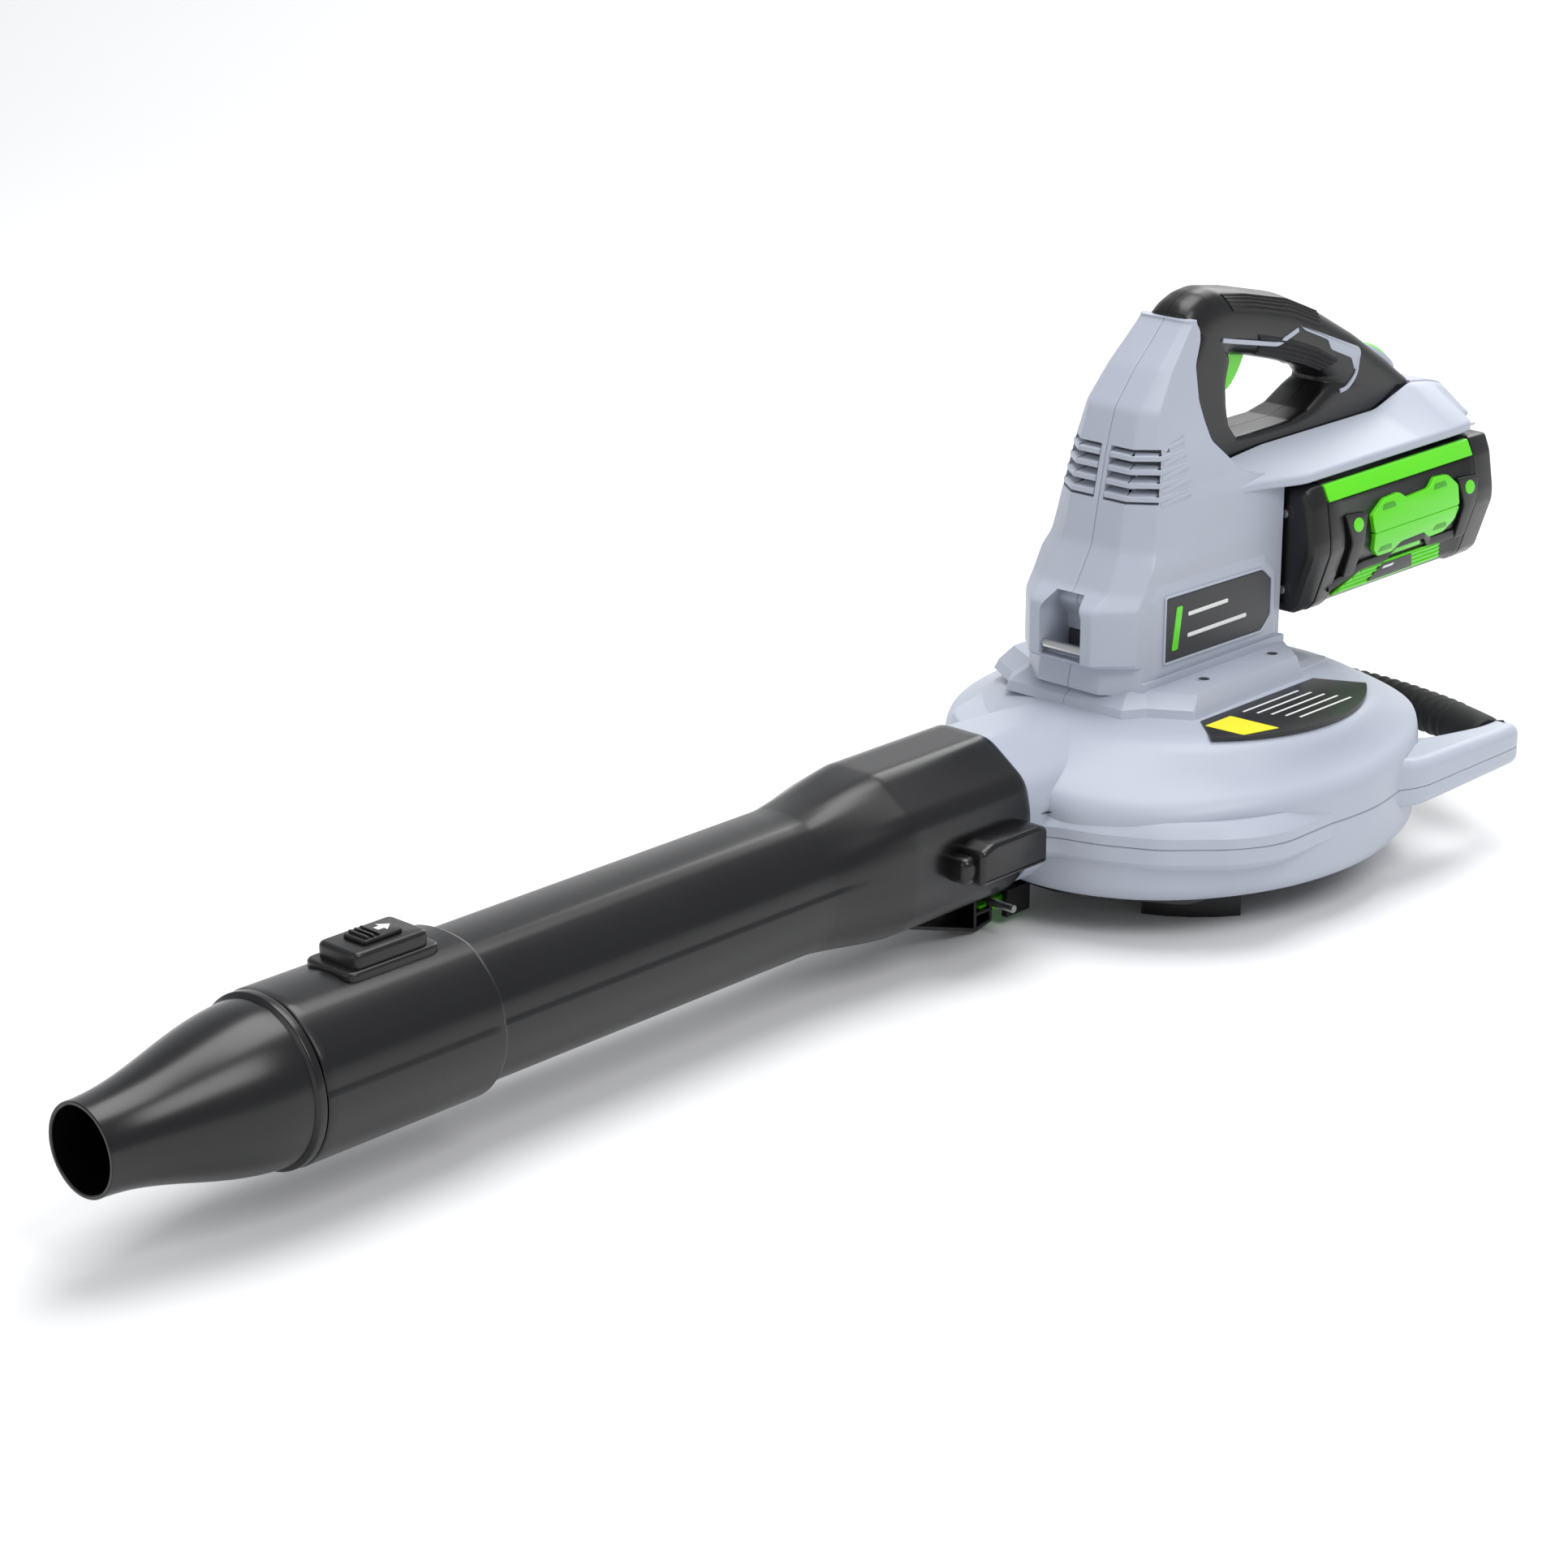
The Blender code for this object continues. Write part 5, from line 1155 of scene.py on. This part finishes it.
    def shells(self, case_front: float, case_rear: float) -> None:
        """Makes the case between case_front and case_rear, and a cap at each end."""
        core = self.rings([(case_front, 0.4), (case_front - 0.6, 1.0), (case_front - 14, 1.0),
                           (case_front - 18, -0.8), (case_rear + 9, -0.8), (case_rear + 5, 0.6),
                           (case_rear + 0.6, 0.6), (case_rear, 0.2)], False)
        piece("battery case", [core] + both_sides([self.waist()]), BLACK_NYLON, "battery", ("battery_case",))
        front = self.rings([(case_front + 0.3, -0.3), (case_front + 1, 0.5), (self.front - 6, 0.4),
                            (self.front - 2, -1.5), (self.front - 0.3, -4.5), (self.front, -7)], True)
        lugs = []
        for v, z in ((44.0, 167.0), (44.0, 218.0)):
            lugs.append(pillow(ellipse(6.5, 6.5, 32) + np.array([v, z]), self.front - 4, self.front + 0.3,
                               0.8, Axis.X))
        frame_panel = rounded([(-34, 172), (34, 172), (34, 196), (-34, 196)], 3.0, 5)
        lugs.append(pillow(frame_panel, self.front - 4, self.front + 0.4, 0.8, Axis.X))
        piece("battery front cap", [front] + both_sides(lugs), BLACK_NYLON, "battery", ("battery_front_cap",))
        rear = self.rings([(case_rear - 0.3, -0.3), (case_rear - 1, 0.6), (self.rear + 15, 0.4),
                           (self.rear + 13.5, 0.0), (self.rear + 3, -9.5), (self.rear + 0.8, -12.0),
                           (self.rear, -14.0)], True)
        piece("battery rear cap", [rear], BLACK_NYLON, "battery", ("battery_rear_cap",))

    def flanks(self, first: float, last: float) -> None:
        """Makes the strips from x = first to last, the clips, bosses and panels."""
        strip = rounded([(57.3, self.top - 0.2), (60.2, self.top - 0.2), (65.2, self.top - 10.6),
                                  (57.3, self.top - 10.6)], np.array([0.3, 1.5, 0.5, 0.3]), 4)
        for tag, turn in (("left", False), ("right", True)):
            bar = pillow(strip, last, first, 0.4, Axis.X, foot=0.4)
            piece(f"{tag} battery strip", [bar.mirrored() if turn else bar], LIME_PC, "battery",
                  (f"battery_{tag}_strip",))
            clips = [s.mirrored() if turn else s for s in self.clip()]
            piece(f"{tag} battery clip", clips, LIME_PC, "battery", (f"battery_{tag}_clip",))
        # painted shade: the slots are the clip's lime painted darker
        piece("clip slots", both_sides(self.clip_slots()), LIME_SLOT_SHADE, "battery")
        piece("battery bosses", both_sides(self.bosses()), BLACK_NYLON, "battery")
        piece("boss inserts", both_sides(self.boss_inserts()), LIME_PC, "battery")
        piece("battery side panels", both_sides(self.panel()), LIME_PC, "battery")

    def marks(self) -> None:
        """Makes the plain label on each flank, with one light tick."""
        label = rounded([(-152, 159), (-204, 159), (-198, 169.6), (-164, 169.6)], 1.0, 4)
        piece("battery labels", both_sides([self.draped(label, 0.5, 1.9, 0.2)]), LABEL_FILM, "battery")
        tick = rounded([(-166, 165.6), (-178, 165.6), (-179, 167.4), (-167, 167.4)], 0.5, 3)
        piece("battery label ticks", both_sides([self.draped(tick, 1.6, 2.1, 0.1)]), LABEL_WHITE, "battery")


# ---------------------------------------------------------------- Tube and nozzle

@dataclass
class BlowerTube:
    """Tube with its coupling and socket, the nozzle's latch, and the catch bracket underneath."""

    axis_z: float = 72.0
    radius: float = 45.0
    wall: float = 2.8
    start: float = 185.0
    coupling_end: float = 286.0
    taper_end: float = 350.0
    socket_at: float = 611.4
    socket_radius: float = 49.5
    bore: float = 46.6
    end: float = 739.0
    coupling: tuple[tuple[float, float], ...] = (
        (18, 54.5), (49, 33), (53, 13), (52, -10), (48, -28), (38, -40), (20, -50),
        (-20, -50), (-38, -40), (-48, -28), (-52, -10), (-53, 13), (-49, 33), (-18, 54.5))

    def body(self) -> Surface:
        """Outer and inner skins: radius = (1 - s) * tube + s * coupling polygon, s easing from 1 to 0
        along the taper, and a stepped socket at the far end."""
        angle = np.linspace(0.0, 2 * math.pi, 144, endpoint=False)
        square = polygon_radius(np.array(self.coupling, float), angle)
        ring = np.concatenate([square[-6:], square, square[:6]])
        square = smooth(ring, 2)[6:-6]
        facet = polygon_radius(np.array([(20, 41.4), (41.4, 20), (44.5, -12), (-44.5, -12), (-41.4, 20),
                                         (-20, 41.4)], float), angle)
        top = np.where(np.sin(angle) > 0.1, np.minimum(facet, self.radius), self.radius)
        edges = [self.start, self.start + 0.6, self.start + 2.0, self.end - 2.0, self.end - 0.6, self.end]
        step_at = self.socket_at
        x = np.concatenate([edges[:3], np.linspace(192, self.coupling_end - 3, 12),
                            np.linspace(self.coupling_end, self.taper_end, 24), np.linspace(360, 606, 30),
                            [step_at, step_at + 1.0, step_at + 2.2, step_at + 4.6],
                            np.linspace(625, 733, 12), edges[3:]])
        share = np.clip((self.taper_end - x) / (self.taper_end - self.coupling_end), 0, 1)
        crisp = 0.5 - 0.5 * np.cos(math.pi * share)
        share = 0.7 * share + 0.3 * crisp
        plain = 0.4 * top + 0.6 * self.radius
        outer = plain[None] * (1 - share[:, None]) + square[None] * share[:, None]
        step = np.clip((x - step_at) / 3.0, 0, 1)
        outer += (step * (self.socket_radius - self.radius))[:, None]
        lip = np.interp(x, edges, [-1.2, -0.4, 0, 0, -0.3, -1.0])
        outer += lip[:, None]
        in_socket = x[:, None] > 640
        inner = np.where(in_socket, self.bore, np.minimum(outer - self.wall, self.bore))
        inner = np.minimum(inner, outer - 1.2)
        skin = np.concatenate([outer, inner[::-1]])
        along = np.concatenate([x, x[::-1]])
        points = np.stack([np.broadcast_to(along[:, None], skin.shape), skin * np.cos(angle)[None],
                           self.axis_z + skin * np.sin(angle)[None]], axis=-1)
        return grid(points, loop=True)

    def side_box(self) -> list[Surface]:
        """Box on the near side that covers the coupling's catch."""
        big = rounded([(188, 58.5), (249, 58.5), (249, 80), (238, 84), (196, 84), (188, 81)], 3.0, 5)
        small = rounded([(236, 60), (259, 60), (259, 77), (236, 77)], 6.0, 6)
        return [pillow(big, 42.0, 71.0, 3.5), pillow(small, 42.0, 66.0, 5.0)]

    def bracket(self) -> list[Surface]:
        """Triangular web under the coupling with two open cells and a lip."""
        v = 8.0
        made = []
        runs = [((262, 24), (196, 3)), ((196, 3), (181, 5.5)), ((181, 5.5), (181, 28)),
                ((181, 28), (262, 24)), ((196, 4), (196, 26)), ((181, 13), (196, 13))]
        for (x0, z0), (x1, z1) in runs:
            path = np.linspace((x0, v, z0), (x1, v, z1), 5)
            made.append(sweep(path, rounded_box(1.4, 13.0, 0.8), (0.0, 1.0, 0.0)))
        web = rounded([(258, 23.4), (198, 5), (198, 26), (240, 27)], 2.0, 4)
        made.append(pillow(web, 6.0, 9.0, 0.5, foot=0.5))
        return made

    def build(self) -> None:
        """Makes tube, bracket and latch."""
        piece("blower tube", [self.body()] + self.side_box() + self.bracket(), TUBE_PP, "tube",
              ("blower_tube",), sharp=26.0)
        base = rounded([(638, -16), (690, -16), (690, 16), (638, 16)], 5.0, 5)
        housing = pillow(base, 117.0, 131.0, 3.0, Axis.Z)
        shoulder = rounded([(632, -19), (697, -19), (697, 19), (632, 19)], 7.0, 5)
        piece("nozzle latch housing", [housing, pillow(shoulder, 114.0, 122.5, 2.0, Axis.Z)], BLACK_NYLON,
              "tube", ("nozzle_latch_housing",))
        key = rounded([(650, -9), (678, -9), (678, 9), (650, 9)], 3.0, 5)
        slider = [pillow(key, 131.3, 133.4, 0.7, Axis.Z)]
        slider += [box((x - 0.9, -7.5, 133.0), (x + 0.9, 7.5, 134.8), 0.5) for x in (666.0, 670.0, 674.0)]
        piece("nozzle lock slider", slider, BLACK_NYLON, "nozzle_lock", ("nozzle_lock_slider",))
        arrow = np.array([(652, 0), (658, -5), (658, -2), (662, -2), (662, 2), (658, 2), (658, 5)], float)
        piece("slider arrow", [pillow(arrow, 133.2, 133.7, 0.0, Axis.Z)], LABEL_WHITE, "nozzle_lock")


@dataclass
class Nozzle:
    """Tapered round nozzle that plugs into the tube's socket."""

    axis_z: float = 72.0
    mouth_radius: float = 26.0
    swell: float = 20.4
    taper_from: float = 743.0
    taper_length: float = 116.4
    plug_from: float = 659.0
    plug_radius: float = 46.2
    mouth_at: float = 860.0
    wall: float = 2.4

    def build(self) -> None:
        """Turns the wall about the tube axis: r = mouth + swell (1 + cos(pi t)) / 2 along the taper."""
        share = np.linspace(0.0, 1.0, 40)
        taper = self.mouth_radius + self.swell * (1 + np.cos(math.pi * share)) / 2
        along = self.taper_from + self.taper_length * share
        skin = np.stack([taper, along], axis=1)
        lining = np.stack([taper - self.wall, along], axis=1)[::-1]
        outer = np.concatenate([[(self.plug_radius, self.plug_from)], skin,
                                [(self.mouth_radius - 0.4, self.mouth_at)]])
        inner = np.concatenate([[(self.mouth_radius - 1.8, self.mouth_at)], lining,
                                [(self.plug_radius - self.wall, self.plug_from)]])
        wall = revolve(np.concatenate([outer, inner]), (0.0, 0.0, self.axis_z), Axis.X, 128)
        ring = revolve(rounded([(45.0, 740.0), (49.0, 740.0), (49.0, 745.0), (45.0, 747.0)], 0.8, 4),
                       (0.0, 0.0, self.axis_z), Axis.X, 128)
        piece("nozzle", [wall, ring], TUBE_PP, "nozzle_body", ("nozzle",))


# ---------------------------------------------------------------- Auxiliary handle and underside

@dataclass
class AuxiliaryHandle:
    """Bowed rubber grip between the arms, with finger ribs."""

    reach: float = 117.5
    bow: float = 24.0
    base_x: float = -168.0
    z: float = 68.0
    radius: float = 13.4
    rib: float = 0.55
    rib_half_pitch: float = 4.2
    ribbed: float = 84.0

    def build(self) -> None:
        """Sweeps the grip: x = base - bow (1 - (y / reach)^2), with radius + rib cos(pi y / half pitch)
        where it is ribbed."""
        y = np.linspace(-self.reach, self.reach, 181)
        x = self.base_x - self.bow * (1 - (y / self.reach) ** 2)
        path = np.column_stack([x, y + DATUM.fan_v, np.full_like(y, self.z)])
        angle = np.linspace(0.0, 2 * math.pi, 40, endpoint=False)
        ribbed = np.abs(y) < self.ribbed
        rib = self.radius + self.rib * np.cos(y / self.rib_half_pitch * math.pi) * ribbed
        end = np.interp(np.abs(y), [0, self.reach - 3, self.reach], [0, 0, -1.5])
        tangent = np.gradient(path, axis=0)
        tangent /= np.linalg.norm(tangent, axis=1, keepdims=True)
        side = np.cross(tangent, (0.0, 0.0, 1.0))
        across, upward = np.cos(angle)[None, :, None], np.sin(angle)[None, :, None]
        ring = side[:, None] * across + np.array([0.0, 0.0, 1.0]) * upward
        points = path[:, None] + ring * (rib + end)[:, None, None]
        piece("auxiliary grip", [grid(points)], GRIP_RUBBER, "housing", ("aux_grip",))


@dataclass
class Underside:
    """Plate that covers the duct's underside and shows under the casing's edge."""

    low: float = 22.0
    high: float = 25.9

    def build(self) -> None:
        """Makes the plate."""
        fan_v = DATUM.fan_v
        plate = rounded([(150, -40), (150, 20), (112, 88), (60, 96), (40, 60), (90, -40)], 8.0, 5)
        piece("duct base plate", [pillow(plate + np.array([0, fan_v]), self.low, self.high, 1.0, Axis.Z)],
              BLACK_NYLON, "housing")


# ---------------------------------------------------------------- Frame finishes and studio

class FrameFinishes:
    """Gives every CAD node that stays in view the finish of its record slot."""

    def dress(self) -> None:
        """Puts the finishes on."""
        slots = {entry["node"]: entry["material_slot"] for entry in frame["record"]["subparts"]}
        for name, node in frame["nodes"].items():
            if node.hide_render:
                continue
            node.data.materials.clear()
            node.data.materials.append(SLOT_FINISH[slots[name]].material())
        LOG.info("frame finishes on %d nodes", len(frame["nodes"]))


@dataclass
class Studio:
    """Camera at the buyer's three-quarter view, pale floor and soft lights."""

    lens: float = 89.9
    camera_at: tuple[float, float, float] = (1.641, 1.444, 0.898)
    right: tuple[float, float, float] = (-0.683, 0.730, 0.0)
    back: tuple[float, float, float] = (0.688, 0.644, 0.335)
    lights: tuple[tuple[str, tuple[float, float, float], float, float], ...] = (
        ("key", (0.3, 2.4, 2.8), 1.6, 44.0), ("fill", (3.2, -0.4, 1.3), 2.0, 13.0),
        ("top", (-0.6, -0.2, 3.0), 2.0, 62.0), ("rim", (-2.6, -0.8, 1.8), 1.6, 26.0))

    def camera(self) -> None:
        """Places the camera from its right and backward directions."""
        data = bpy.data.cameras.new("camera")
        data.lens = self.lens
        data.sensor_width = 36.0
        made = bpy.data.objects.new("camera", data)
        back = Vector(self.back).normalized()
        right = Vector(self.right).normalized()
        up = back.cross(right).normalized()
        right = up.cross(back).normalized()
        columns = [[right[i], up[i], back[i]] for i in range(3)]
        matrix = [[*columns[i], self.camera_at[i]] for i in range(3)] + [[0, 0, 0, 1]]
        bpy.context.scene.collection.objects.link(made)
        made.matrix_world = Matrix(matrix)
        bpy.context.scene.camera = made

    def floor(self) -> None:
        """Pale floor that curves up into the backdrop."""
        across = np.linspace(-6.0, 6.0, 3)
        profile = np.array([(6.0, 0.0), (-2.2, 0.0), (-2.7, 0.06), (-3.1, 0.3), (-3.3, 0.8), (-3.35, 4.0)])
        profile = rounded(profile, 0.4, 6, closed=False)
        toward = np.array([0.73, 0.683])
        side = np.array([-0.683, 0.73])
        points = np.empty((len(profile), 3, 3))
        points[..., :2] = profile[:, None, :1] * toward + across[None, :, None] * side
        points[..., 2] = profile[:, None, 1] - 0.0004
        surface = grid(points, around=False, caps=False)
        mesh = bpy.data.meshes.new("floor")
        mesh.from_pydata(surface.points.tolist(), [], surface.faces)
        mesh.shade_smooth()
        made = bpy.data.objects.new("floor", mesh)
        bpy.context.scene.collection.objects.link(made)
        paper = Finish("matt backdrop paper", "floor", "F2F2F2", "F6F6F6", 0.85, depth=0.01, cloud=900.0)
        mesh.materials.append(paper.material())

    def light(self, name: str, place: tuple[float, float, float], size: float, power: float) -> None:
        """One soft square light that looks at the blower."""
        data = bpy.data.lights.new(name, "AREA")
        data.shape = "SQUARE"
        data.size = size
        data.energy = power
        made = bpy.data.objects.new(name, data)
        made.location = place
        made.rotation_mode = "QUATERNION"
        made.rotation_quaternion = (Vector(place) - Vector((0, 0, 0.15))).to_track_quat("Z", "Y")
        bpy.context.scene.collection.objects.link(made)

    def build(self) -> None:
        """Sets up camera, floor, lights and the pale surroundings."""
        self.camera()
        self.floor()
        for name, place, size, power in self.lights:
            self.light(name, place, size, power)
        world = bpy.data.worlds.new("studio")
        world.use_nodes = True
        background = world.node_tree.nodes["Background"]
        background.inputs["Color"].default_value = linear_colour("F4F6FA")
        background.inputs["Strength"].default_value = 0.5
        bpy.context.scene.world = world
        bpy.context.scene.view_settings.view_transform = "Standard"


def main() -> None:
    """Builds every sub-assembly in order."""
    logging.basicConfig(level=logging.INFO, format="%(name)s: %(message)s")
    ScrollCasing().build()
    Tower().build()
    Handle().build()
    Marks().build()
    Battery().build()
    BlowerTube().build()
    Nozzle().build()
    AuxiliaryHandle().build()
    Underside().build()
    FrameFinishes().dress()
    Studio().build()


if __name__ == "__main__":
    main()
